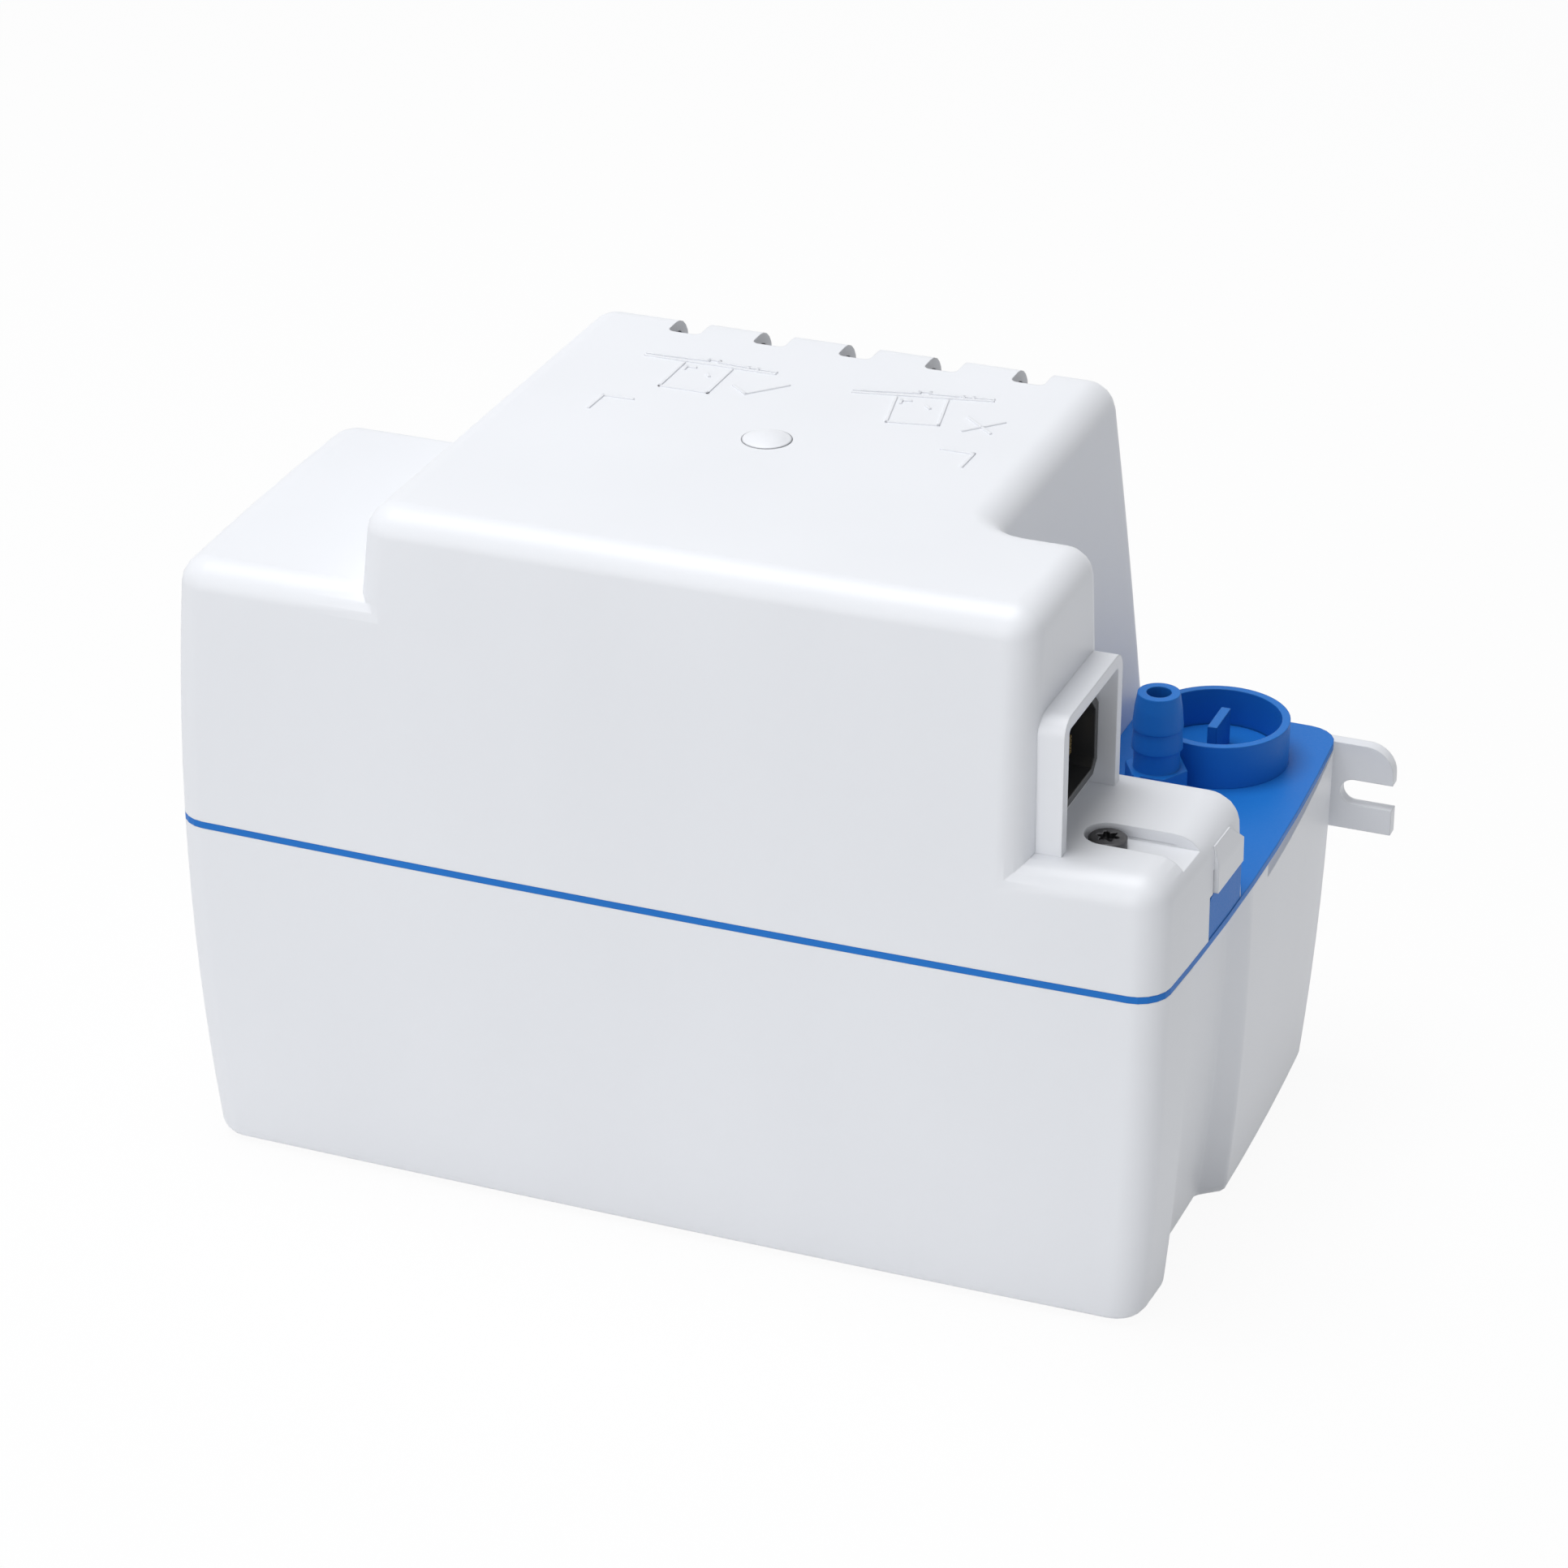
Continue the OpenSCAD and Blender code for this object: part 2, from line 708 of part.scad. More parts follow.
module cover_screw() {
    color(black)
        translate([recess_x, recess_y, recess_floor])
            pan_screw(screw_len, screw_r, screw_head_r, screw_head_h);
}

// Inlet plug: a blade on a disc, with a spigot and a seal
plug_disc_t = 1.3;
plug_lift = 0.15;
blade_len = 10.4;
blade_t = 2.1;
blade_h = 8.2;
plug_spigot_h = 7;
plug_wall = 1.8;
seal_t = 1.6;
seal_drop = 4;
seal_z = tank_h - seal_drop;
groove_h = seal_t + 2 * slide_gap;
groove_deep = 1.5;
groove_r = inlet_r - groove_deep;

module inlet_plug(x) {
    color(blue)
        translate([x, collar_y, 0])
            difference() {
                union() {
                    translate([0, 0, deck_z + plug_lift])
                        cylinder(r = socket_r - gap, h = plug_disc_t);
                    translate([0, 0, deck_z + plug_lift - plug_spigot_h])
                        cylinder(r = inlet_r - gap, h = plug_spigot_h + overlap);
                    translate([-blade_t / 2, -blade_len / 2, deck_z + plug_lift])
                        cube([blade_t, blade_len, plug_disc_t + blade_h]);
                }
                translate([0, 0, deck_z + plug_lift - plug_spigot_h - cut])
                    cylinder(r = groove_r - plug_wall, h = plug_spigot_h - plug_wall + cut);
                translate([0, 0, seal_z - groove_h / 2])
                    difference() {
                        cylinder(r = inlet_r + cut, h = groove_h);
                        translate([0, 0, -cut]) cylinder(r = groove_r, h = groove_h + 2 * cut);
                    }
            }
}
module inlet_plug_right() { inlet_plug(collar_x); }
module inlet_plug_left() { inlet_plug(-collar_x); }

module ring_seal(x, y, z, r_in, r_out, h) {
    color(rubber)
        translate([x, y, z - h / 2])
            rotate_extrude()
                translate([r_in, 0]) square([r_out - r_in, h]);
}
module plug_seal_right() {
    ring_seal(collar_x, collar_y, seal_z, groove_r + fit_gap, inlet_r - fit_gap, seal_t);
}
module plug_seal_left() {
    ring_seal(-collar_x, collar_y, seal_z, groove_r + fit_gap, inlet_r - fit_gap, seal_t);
}

// Outlet valve: barb, six-sided base, lever and spigot with the valve chamber
base_low = deck_z + plug_lift;
base_h = 6.6;
base_r = 7;
neck_top = base_low + base_h;
barb_rise = 24.3;
barb_top = deck_z + barb_rise;
barb_tip_d = 9.2;
barb_waist_d = 10.3;
barb_ridge_h = 4.8;
ridge_draw = 0.6;
barb_land = 0.8;
neck_h = 4.7;
spigot_drop = 12.6;
spigot_low = tank_h - spigot_drop;
chamber_r = 4.1;
chamber_roof = 2;
chamber_top = neck_top - chamber_roof;
seat_h = 4;
ball_r = 3.4;
ball_lift = 2.5;
seat_lip = 1;
seat_bore_r = ball_r - seat_lip;
ball_z = spigot_low + seat_h + sqrt(pow(ball_r, 2) - pow(seat_bore_r, 2)) + slide_gap;
lever_t = 1.5;
lever_len = 13.6;
lever_h = 4.4;
lever_shift = -2.3;
spigot_seal_drop = 5;
spigot_seal_z = tank_h - spigot_seal_drop;
spigot_groove_deep = 1.3;
spigot_groove_r = spigot_r - spigot_groove_deep;

module barb_ridge(z, h, d0, d1) {
    translate([0, 0, z]) cylinder(d = d0, h = barb_land);
    translate([0, 0, z + barb_land]) cylinder(d1 = d0, d2 = d1, h = h - barb_land);
}

module outlet_valve() {
    ridge1 = neck_top + neck_h;
    ridge2 = ridge1 + barb_ridge_h;
    color(blue)
        translate([outlet_x, outlet_y, 0])
            difference() {
                union() {
                    translate([0, 0, base_low]) cylinder(r = base_r, h = base_h, $fn = 6);
                    translate([0, 0, spigot_low])
                        cylinder(r = spigot_r, h = base_low - spigot_low + overlap);
                    translate([0, 0, neck_top - overlap])
                        cylinder(d = neck_d, h = neck_h + barb_ridge_h + overlap);
                    barb_ridge(ridge1, barb_ridge_h, barb_d, barb_d - ridge_draw);
                    barb_ridge(ridge2, barb_ridge_h, barb_d - fit_gap, barb_waist_d);
                    translate([0, 0, ridge2 + barb_ridge_h])
                        cylinder(d1 = barb_waist_d, d2 = barb_tip_d,
                                 h = barb_top - ridge2 - barb_ridge_h);
                    translate([lever_shift - lever_t / 2, -lever_len, neck_top - lever_h])
                        cube([lever_t, lever_len, lever_h]);
                }
                translate([0, 0, spigot_low - cut])
                    cylinder(r = chamber_r, h = chamber_top - spigot_low + cut);
                translate([0, 0, chamber_top - cut])
                    cylinder(d = outlet_bore_d, h = barb_top - chamber_top + 2 * cut);
                translate([0, 0, spigot_seal_z - groove_h / 2])
                    difference() {
                        cylinder(r = spigot_r + cut, h = groove_h);
                        translate([0, 0, -cut])
                            cylinder(r = spigot_groove_r, h = groove_h + 2 * cut);
                    }
            }
}

module outlet_seal() {
    ring_seal(outlet_x, outlet_y, spigot_seal_z, spigot_groove_r + fit_gap,
              spigot_r + gap - fit_gap, seal_t);
}

module valve_seat() {
    color(white)
        translate([outlet_x, outlet_y, spigot_low])
            difference() {
                cylinder(r = chamber_r - fit_gap, h = seat_h);
                translate([0, 0, -cut]) cylinder(r = seat_bore_r, h = seat_h + 2 * cut);
            }
}

module check_ball() {
    color(steel) translate([outlet_x, outlet_y, ball_z]) sphere(r = ball_r);
}

// Spring above the ball: one unbroken tube on a helix
spring_wire_r = 0.35;
spring_r = 2.9;
spring_turns = 5;
spring_rings = 8;
spring_sides = 6;
spring_low = ball_z + sqrt(pow(ball_r + spring_wire_r + slide_gap, 2) - pow(spring_r, 2));
spring_high = chamber_top - spring_wire_r - slide_gap;

function coil_point(turn) = let (a = 360 * turn)
    [spring_r * cos(a), spring_r * sin(a),
     spring_low + (spring_high - spring_low) * turn / spring_turns];
function coil_ring(turn) = let (a = 360 * turn, c = coil_point(turn))
    [for (k = [0:spring_sides - 1]) let (b = 360 * k / spring_sides)
        c + spring_wire_r * [cos(b) * cos(a), cos(b) * sin(a), sin(b)]];

module check_spring() {
    rings = [for (i = [0:spring_turns * spring_rings]) coil_ring(i / spring_rings)];
    echo(least_gap = (spring_high - spring_low) / spring_turns - 2 * spring_wire_r);
    color(steel)
        translate([outlet_x, outlet_y, 0])
            polyhedron(points = [for (r = rings) each r],
                       faces = skin(spring_sides, len(rings)), convexity = 10);
}

// Pump casing, hanging from the deck on its column
casing_wall = 2;
casing_gap = 1;
casing_screw_in = 2.5;
casing_screw_r = 1.3;
casing_screw_head_r = 2.3;
casing_screw_head_h = 1.6;
casing_screw_len = 8;
eye_space = 4;
casing_low = tank_wall + eye_space;
casing_h = 15;
casing_mid = casing_low + casing_h / 2;
eye_r = 7;
column_r = 9;
column_wall = 2;
column_flange_r = 17;
column_window_rim = 6;
column_flange_t = 2.5;
spout_past = 2;
spout_x = pump_x + casing_r + spout_past;
nipple_len = 6;
nipple_bore_r = 2.4;

module discharge_tube() {
    bend_r = 12;
    run_end = outlet_x - bend_r;
    top = socket_low + tube_seat_h;
    color(amber) {
        translate([spout_x + gap, outlet_y, casing_mid])
            rotate([0, 90, 0])
                difference() {
                    cylinder(r = tube_r, h = run_end - spout_x - gap);
                    translate([0, 0, -cut])
                        cylinder(r = tube_bore_r, h = run_end - spout_x + 2 * cut);
                }
        translate([run_end, outlet_y, casing_mid + bend_r])
            rotate([90, 0, 0])
                rotate_extrude(angle = 90, start = 270)
                    translate([bend_r, 0])
                        difference() {
                            circle(r = tube_r);
                            circle(r = tube_bore_r);
                        }
        translate([outlet_x, outlet_y, casing_mid + bend_r])
            difference() {
                cylinder(r = tube_r, h = top - casing_mid - bend_r);
                translate([0, 0, -cut])
                    cylinder(r = tube_bore_r, h = top - casing_mid - bend_r + 2 * cut);
            }
    }
}

module power_inlet() {
    color(black)
        difference() {
            union() {
                inlet_prism(inlet_seat, inlet_face, 0);
                inlet_prism(inlet_seat - inlet_body_len, inlet_seat + overlap, inlet_rim / 2);
            }
            inlet_prism(inlet_face - inlet_depth, inlet_face + cut, inlet_rim);
            for (p = contact_places)
                translate([inlet_seat - inlet_body_len - cut, p.x - contact_w / 2 - fit_gap,
                           p.y - contact_t / 2 - fit_gap])
                    cube([inlet_body_len, contact_w + 2 * fit_gap, contact_t + 2 * fit_gap]);
        }
}
contact_w = 2;
contact_t = 4;
contact_pitch = 7;
contact_rise = 2;
contact_tail = 8;
contact_places = [[inlet_y - contact_pitch, inlet_z - contact_rise],
                  [inlet_y + contact_pitch, inlet_z - contact_rise],
                  [inlet_y, inlet_z + contact_rise]];

module inlet_contacts() {
    contact_in = 3;
    low = inlet_seat - inlet_body_len - contact_tail;
    color(brass)
        for (p = contact_places)
            translate([low, p.x - contact_w / 2, p.y - contact_t / 2])
                cube([inlet_face - 2 * gap - contact_in - low, contact_w, contact_t]);
}

// Terminal block on the deck, behind the power inlet
terminal_in = 37;
terminal_x = tower_right - terminal_in;
terminal_fore = 13.6;
terminal_y = terminal_fore - rim_half_dep;
terminal_pitch = 8;
terminal_count = 4;
terminal_dep = 14;
terminal_h = 15;

module terminal_block() {
    color(white)
        translate([terminal_x - terminal_pitch * terminal_count / 2, terminal_y, deck_z])
            difference() {
                cube([terminal_pitch * terminal_count, terminal_dep, terminal_h]);
                for (i = [0:terminal_count - 1])
                    translate([terminal_pitch * (i + 1 / 2), terminal_dep / 2, terminal_h / 2])
                        cylinder(r = terminal_pitch / 3, h = terminal_h);
                for (i = [1:terminal_count - 1])
                    translate([terminal_pitch * i - gap, -cut, terminal_h * 2 / 3])
                        cube([2 * gap, terminal_dep + 2 * cut, terminal_h]);
            }
}

module terminal_screws() {
    color(brass)
        for (i = [0:terminal_count - 1])
            translate([terminal_x + terminal_pitch * (i + 1 / 2 - terminal_count / 2),
                       terminal_y + terminal_dep / 2, deck_z + terminal_h / 2])
                difference() {
                    cylinder(r = terminal_pitch / 3 - slide_gap, h = terminal_h / 4);
                    translate([-terminal_pitch, -gap, terminal_h / 8])
                        cube([2 * terminal_pitch, 2 * gap, terminal_h]);
                }
}

// Shaded-pole motor: a stack with the rotor bore at one end and the coil leg at the other
core_back = 46;
core_front = 24;
core_half = 25;
leg_w = 14;
window_w = 12;
window_half = 17;
air_gap = 0.5;
bore_r = rotor_d / 2 + air_gap;
slot_r = 2.2;
slot_wall = 1.4;
slot_at = bore_r + slot_wall + slot_r;

module motor_core() {
    color(steel)
        translate([pump_x, pump_y, stack_z])
            difference() {
                translate([-core_back, -core_half, 0])
                    cube([core_back + core_front, 2 * core_half, stack_h]);
                translate([-core_back + leg_w, -window_half, -cut])
                    cube([window_w, 2 * window_half, stack_h + 2 * cut]);
                translate([0, 0, -cut]) cylinder(r = bore_r, h = stack_h + 2 * cut);
                for (s = [-1, 1]) {
                    translate([s * slot_at * cos(45), s * slot_at * sin(45), -cut])
                        cylinder(r = slot_r, h = stack_h + 2 * cut);
                    translate([0, s * motor_screw_y, -cut])
                        cylinder(r = motor_screw_r + fit_gap, h = stack_h + 2 * cut);
                }
            }
}

// Bobbin and winding on the coil leg
bobbin_wall = 1;
bobbin_flange = 1.2;
coil_t_in = 8;
coil_t_out = 9;
coil_inset = 1;
leg_x0 = pump_x - core_back;

module leg_box(t, y, tz) {
    translate([leg_x0 - t, pump_y - y, stack_z - tz])
        cube([leg_w + 2 * t, 2 * y, stack_h + 2 * tz]);
}

module coil_bobbin() {
    t = fit_gap + bobbin_wall;
    y = window_half - gap;
    color(white)
        difference() {
            union() {
                leg_box(t, y, t);
                for (s = [-1, 1])
                    translate([leg_x0 - t - coil_t_in,
                               pump_y + s * (y - bobbin_flange / 2) - bobbin_flange / 2,
                               stack_z - t - coil_t_out])
                        cube([leg_w + 2 * t + 2 * coil_t_in, bobbin_flange,
                              stack_h + 2 * t + 2 * coil_t_out]);
            }
            leg_box(fit_gap, y + cut, fit_gap);
        }
}

module motor_coil() {
    t = fit_gap + bobbin_wall + slide_gap;
    y = window_half - gap - bobbin_flange - slide_gap;
    color(copper)
        difference() {
            leg_box(t + coil_t_in - coil_inset, y, t + coil_t_out - coil_inset);
            leg_box(t, y + cut, t);
        }
}

module shading_rings() {
    t = 1.2;
    color(copper)
        for (s = [-1, 1], z = [stack_z - t - slide_gap, stack_z + stack_h + slide_gap])
            translate([pump_x + s * slot_at * cos(45), pump_y + s * slot_at * sin(45), z])
                difference() {
                    cylinder(r = slot_r + t, h = t);
                    translate([0, 0, -cut]) cylinder(r = slot_r - slide_gap, h = t + 2 * cut);
                }
}

// Bearing brackets above and below the stack
bearing_r = 4.5;
bearing_h = 6;
boss_r = 7;
bracket_w = 16;
bracket_foot = 9;
boss_sink = 1;
bearing_over = 3;

module bracket(side) {
    z0 = side < 0 ? stack_z - slide_gap : stack_z + stack_h + slide_gap;
    translate([pump_x, pump_y, z0])
        mirror([0, 0, side < 0 ? 1 : 0])
            difference() {
                union() {
                    for (s = [-1, 1]) {
                        translate([-bracket_w / 2, s * motor_screw_y - bracket_foot / 2, 0])
                            cube([bracket_w, bracket_foot, bracket_rise]);
                    }
                    translate([-bracket_w / 2, -motor_screw_y - bracket_foot / 2, bracket_rise - overlap])
                        cube([bracket_w, 2 * motor_screw_y + bracket_foot, bracket_t + overlap]);
                    translate([0, 0, bracket_rise - boss_sink])
                        cylinder(r = boss_r, h = bearing_h + boss_sink);
                }
                translate([0, 0, bracket_rise - boss_sink - cut])
                    cylinder(r = bearing_r + fit_gap, h = bearing_h + bearing_over);
                for (s = [-1, 1])
                    translate([0, s * motor_screw_y, -cut])
                        cylinder(r = motor_screw_r + fit_gap, h = bracket_rise + bracket_t + 2 * cut);
            }
}
module lower_bracket() { color(steel) bracket(-1); }
module upper_bracket() { color(steel) bracket(1); }

module shaft_bearings() {
    color(brass)
        for (z = [stack_z - slide_gap - bracket_rise - bearing_h + boss_sink,
                  stack_z + stack_h + slide_gap + bracket_rise - boss_sink])
            translate([pump_x, pump_y, z])
                difference() {
                    cylinder(r = bearing_r, h = bearing_h);
                    translate([0, 0, -cut])
                        cylinder(r = shaft_d / 2 + fit_gap, h = bearing_h + 2 * cut);
                }
}

motor_screw_top = stack_z + stack_h + slide_gap + bracket_rise + bracket_t;
motor_screw_bite = 5;
motor_screw_head_r = 3.6;
motor_screw_head_h = 2.4;
motor_screw_len = motor_screw_top - motor_post_top + motor_screw_bite;

module motor_screws() {
    color(steel)
        for (s = [-1, 1])
            translate([pump_x, pump_y + s * motor_screw_y, motor_screw_top])
                pan_screw(motor_screw_len, motor_screw_r, motor_screw_head_r, motor_screw_head_h);
}

// Rotating pieces
impeller_space = 1.6;
impeller_low = casing_low + casing_wall + impeller_space;
impeller_h = 6.4;
fan_h = 6;
fan_space = 2;
fan_low = top_z - cover_wall - fan_space - fan_h;
shaft_low = impeller_low - gap;
shaft_high = fan_low + fan_h;

module motor_shaft() {
    color(steel)
        translate([pump_x, pump_y, shaft_low]) cylinder(d = shaft_d, h = shaft_high - shaft_low);
}

module rotor() {
    ring_h = 4;
    ring_inset = 3;
    color(steel)
        translate([pump_x, pump_y, stack_z])
            difference() {
                union() {
                    cylinder(d = rotor_d, h = stack_h);
                    translate([0, 0, -ring_h])
                        cylinder(d = rotor_d - ring_inset, h = stack_h + 2 * ring_h);
                }
                translate([0, 0, -ring_h - cut])
                    cylinder(r = shaft_d / 2 + fit_gap, h = stack_h + 2 * ring_h + 2 * cut);
            }
}

module cooling_fan() {
    hub_r = 6;
    blade = 1.4;
    fan_disc_in = 2;
    color(white)
        translate([pump_x, pump_y, fan_low])
            difference() {
                union() {
                    cylinder(r = hub_r, h = fan_h);
                    cylinder(r = fan_d / 2 - fan_disc_in, h = blade);
                    for (i = [0:fan_blades - 1])
                        rotate([0, 0, 360 * i / fan_blades])
                            translate([hub_r - overlap, -blade / 2, 0])
                                cube([fan_d / 2 - hub_r, blade, fan_h]);
                }
                translate([0, 0, -cut]) cylinder(r = shaft_d / 2 + fit_gap, h = fan_h + 2 * cut);
            }
}

module shaft_slinger() {
    slinger_r = 8;
    slinger_t = 1.6;
    slinger_rise = 1.9;
    color(rubber)
        translate([pump_x, pump_y, deck_z + slinger_rise])
            difference() {
                cylinder(r = slinger_r, h = slinger_t);
                translate([0, 0, -cut])
                    cylinder(r = shaft_d / 2 + fit_gap, h = slinger_t + 2 * cut);
            }
}

module impeller() {
    hub_r = 5;
    disc_t = 1.4;
    blade = 1.3;
    arc_share = 0.42;
    arc_r = impeller_d * arc_share;
    color(white)
        translate([pump_x, pump_y, impeller_low])
            difference() {
                union() {
                    translate([0, 0, impeller_h - disc_t]) cylinder(d = impeller_d, h = disc_t);
                    cylinder(r = hub_r, h = impeller_h);
                    intersection() {
                        cylinder(d = impeller_d - 2 * slide_gap, h = impeller_h - disc_t / 2);
                        for (i = [0:impeller_blades - 1])
                            rotate([0, 0, 360 * i / impeller_blades])
                                translate([0, -arc_r, 0])
                                    difference() {
                                        intersection() {
                                            cylinder(r = arc_r + blade / 2, h = impeller_h);
                                            cube([2 * arc_r, 2 * arc_r, 2 * impeller_h]);
                                        }
                                        translate([0, 0, -cut])
                                            cylinder(r = arc_r - blade / 2, h = impeller_h + 2 * cut);
                                    }
                    }
                }
                translate([0, 0, -cut])
                    cylinder(r = shaft_d / 2 + fit_gap, h = impeller_h + 2 * cut);
            }
}

module pump_column() {
    low = casing_low + casing_h + slide_gap;
    color(white)
        translate([pump_x, pump_y, low])
            difference() {
                union() {
                    cylinder(r = column_r, h = tank_h - low);
                    translate([0, 0, tank_h - low - column_flange_t])
                        cylinder(r = column_flange_r, h = column_flange_t);
                    cylinder(r = casing_r, h = column_flange_t);
                }
                translate([0, 0, -cut])
                    cylinder(r = column_r - column_wall, h = tank_h - low + 2 * cut);
                for (a = [0, 90])
                    rotate([0, 0, a])
                        translate([-2 * column_r, -column_r / 3, column_flange_t + column_window_rim])
                            cube([4 * column_r, column_r * 2 / 3,
                                  tank_h - low - 2 * (column_flange_t + column_window_rim)]);
                for (a = [45:90:315])
                    rotate([0, 0, a])
                        translate([casing_r - casing_screw_in, 0, -cut])
                            cylinder(r = casing_screw_r + fit_gap, h = column_flange_t + 2 * cut);
            }
}

// Volute casing, open at the bottom eye, with the discharge spout
module pump_casing() {
    color(white)
        translate([pump_x, pump_y, casing_low])
            difference() {
                union() {
                    cylinder(r = casing_r, h = casing_h);
                    translate([0, discharge_offset, casing_h / 2])
                        rotate([0, 90, 0]) {
                            cylinder(r = tube_bore_r + casing_wall, h = spout_x - pump_x);
                            cylinder(r = tube_bore_r - fit_gap,
                                     h = spout_x - pump_x + nipple_len);
                        }
                }
                translate([0, 0, casing_wall]) cylinder(r = impeller_d / 2 + casing_gap, h = casing_h);
                translate([0, 0, -cut]) cylinder(r = eye_r, h = casing_h);
                translate([0, discharge_offset, casing_h / 2])
                    rotate([0, 90, 0])
                        cylinder(r = nipple_bore_r, h = spout_x + nipple_len);
                for (a = [45:90:315])
                    rotate([0, 0, a])
                        translate([casing_r - casing_screw_in, 0, casing_h - casing_screw_len])
                            cylinder(r = casing_screw_r + fit_gap, h = casing_h);
            }
}

module casing_screws() {
    color(steel)
        translate([pump_x, pump_y, casing_low + casing_h + slide_gap + column_flange_t])
            for (a = [45:90:315])
                rotate([0, 0, a])
                    translate([casing_r - casing_screw_in, 0, 0])
                        pan_screw(casing_screw_len, casing_screw_r, casing_screw_head_r, casing_screw_head_h);
}

// Float, its rod with the cam taper, and the clip that holds it
clip_r = 7;
clip_h = 1.2;
clip_slot = 3;
cam_over = 2;
float_space = 2;
float_low = guide_low - float_space - float_travel - float_h - clip_h;
rod_past = 2;
rod_low = float_low - rod_past;
float_edge = 3;

module float_block() {
    color(white)
        translate([rod_x, rod_y, float_low])
            difference() {
                rotate_extrude()
                    polygon([[rod_r + fit_gap, 0], [float_d / 2 - float_edge, 0], [float_d / 2, float_edge],
                             [float_d / 2, float_h - float_edge], [float_d / 2 - float_edge, float_h],
                             [rod_r + fit_gap, float_h]]);
            }
}

module float_rod() {
    color(white)
        translate([rod_x, rod_y, 0]) {
            translate([0, 0, rod_low]) cylinder(r = rod_r, h = cam_top - cam_len - rod_low);
            translate([0, 0, cam_top - cam_len])
                cylinder(r1 = rod_r, r2 = cam_r(cam_top + cam_over), h = cam_len + cam_over);
        }
}

module float_clips() {
    color(black)
        for (z = [float_low - clip_h - fit_gap, float_low + float_h + fit_gap])
            translate([rod_x, rod_y, z])
                difference() {
                    cylinder(r = clip_r, h = clip_h);
                    translate([0, 0, -cut]) cylinder(r = rod_r + fit_gap, h = clip_h + 2 * cut);
                    translate([0, -clip_slot / 2, -cut]) cube([clip_r, clip_slot, clip_h + 2 * cut]);
                }
}

// Two snap switches beside the rod, on a bracket
switch_dep = 10.2;
switch_t = 6.4;
tail_len = 4;
tail_w = 2.4;
tail_t = 0.8;
tail_step = 7;
switch_hole_in = 2.6;
switch_hole_step = 4.75;
switch_hole_r = 1.2;
switch_screw_len = 8.6;
switch_screw_r = 1.05;
switch_screw_head_r = 2;
switch_screw_head_h = 1.2;
bracket_hole_r = 1.1;
bracket_foot_dep = 14;
gusset_dep = 12;
gusset_h = 16;
plunger_r = 1;
plunger_out = 2.4;
plunger_in = 1;
run_z = cam_top - switch_step;
alarm_z = cam_top;
function cam_r(z) = rod_tip_r + (rod_r - rod_tip_r) * (cam_top - z) / cam_len;
function plunger_tip(z) = rod_x - cam_r(z) - gap;
switch_face = plunger_tip(run_z) - plunger_out;
bracket_y = rod_y + switch_t / 2 + gap / 2;
side_plate_t = 2.4;

module snap_switch(z) {
    difference() {
        union() {
            translate([switch_face - switch_dep, rod_y - switch_t / 2, z - switch_long / 2])
                cube([switch_dep, switch_t, switch_long]);
            for (s = [-1, 0, 1])
                translate([switch_face - switch_dep - tail_len, rod_y - tail_w / 2,
                           z + s * tail_step - tail_t / 2])
                    cube([tail_len + overlap, tail_w, tail_t]);
        }
        translate([switch_face - plunger_in - plunger_travel - gap, rod_y, z])
            rotate([0, 90, 0]) cylinder(r = plunger_r + fit_gap, h = switch_dep);
        for (s = [-1, 1])
            translate([switch_face - switch_dep + switch_hole_in, rod_y - switch_t,
                       z + s * switch_hole_step])
                rotate([-90, 0, 0]) cylinder(r = switch_hole_r, h = 2 * switch_t);
    }
}
module run_switch() { color(black) snap_switch(run_z); }
module alarm_switch() { color(black) snap_switch(alarm_z); }

module plunger(z) {
    tip = plunger_tip(z);
    translate([switch_face - plunger_in, rod_y, z])
        rotate([0, 90, 0]) cylinder(r = plunger_r, h = tip - switch_face + plunger_in);
}
module run_plunger() { color(white) plunger(run_z); }
module alarm_plunger() { color(white) plunger(alarm_z); }

module switch_bracket() {
    high = alarm_z + switch_long / 2;
    color(white)
        difference() {
            union() {
                translate([switch_face - switch_dep, bracket_y, deck_z])
                    cube([switch_dep, side_plate_t, high - deck_z]);
                translate([switch_face - switch_dep - tail_len, bracket_y, deck_z])
                    cube([switch_dep + tail_len, bracket_foot_dep, side_plate_t]);
                translate([switch_face - switch_dep / 2, bracket_y + side_plate_t - overlap, deck_z])
                    cube([side_plate_t, gusset_dep, gusset_h]);
            }
            for (z = [run_z, alarm_z], s = [-1, 1])
                translate([switch_face - switch_dep + switch_hole_in, bracket_y - cut,
                           z + s * switch_hole_step])
                    rotate([-90, 0, 0]) cylinder(r = bracket_hole_r, h = side_plate_t + 2 * cut);
        }
}

module switch_screws() {
    color(steel)
        for (z = [run_z, alarm_z], s = [-1, 1])
            translate([switch_face - switch_dep + switch_hole_in, rod_y - switch_t / 2 - fit_gap,
                       z + s * switch_hole_step])
                rotate([90, 0, 0])
                    pan_screw(switch_screw_len, switch_screw_r,
                              switch_screw_head_r, switch_screw_head_h);
}

tank();
deck_gasket();
deck_plate();
inlet_collars();
cover();
cover_screw();
inlet_plug_right();
plug_seal_right();
inlet_plug_left();
plug_seal_left();
outlet_valve();
outlet_seal();
valve_seat();
check_ball();
check_spring();
discharge_tube();
power_inlet();
inlet_contacts();
terminal_block();
terminal_screws();
motor_core();
coil_bobbin();
motor_coil();
shading_rings();
lower_bracket();
upper_bracket();
shaft_bearings();
motor_screws();
motor_shaft();
rotor();
cooling_fan();
shaft_slinger();
pump_column();
pump_casing();
casing_screws();
impeller();
float_block();
float_rod();
float_clips();
switch_bracket();
run_switch();
alarm_switch();
run_plunger();
alarm_plunger();
switch_screws();
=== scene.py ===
import json
import math

import bmesh
import bpy
from mathutils import Matrix, Vector


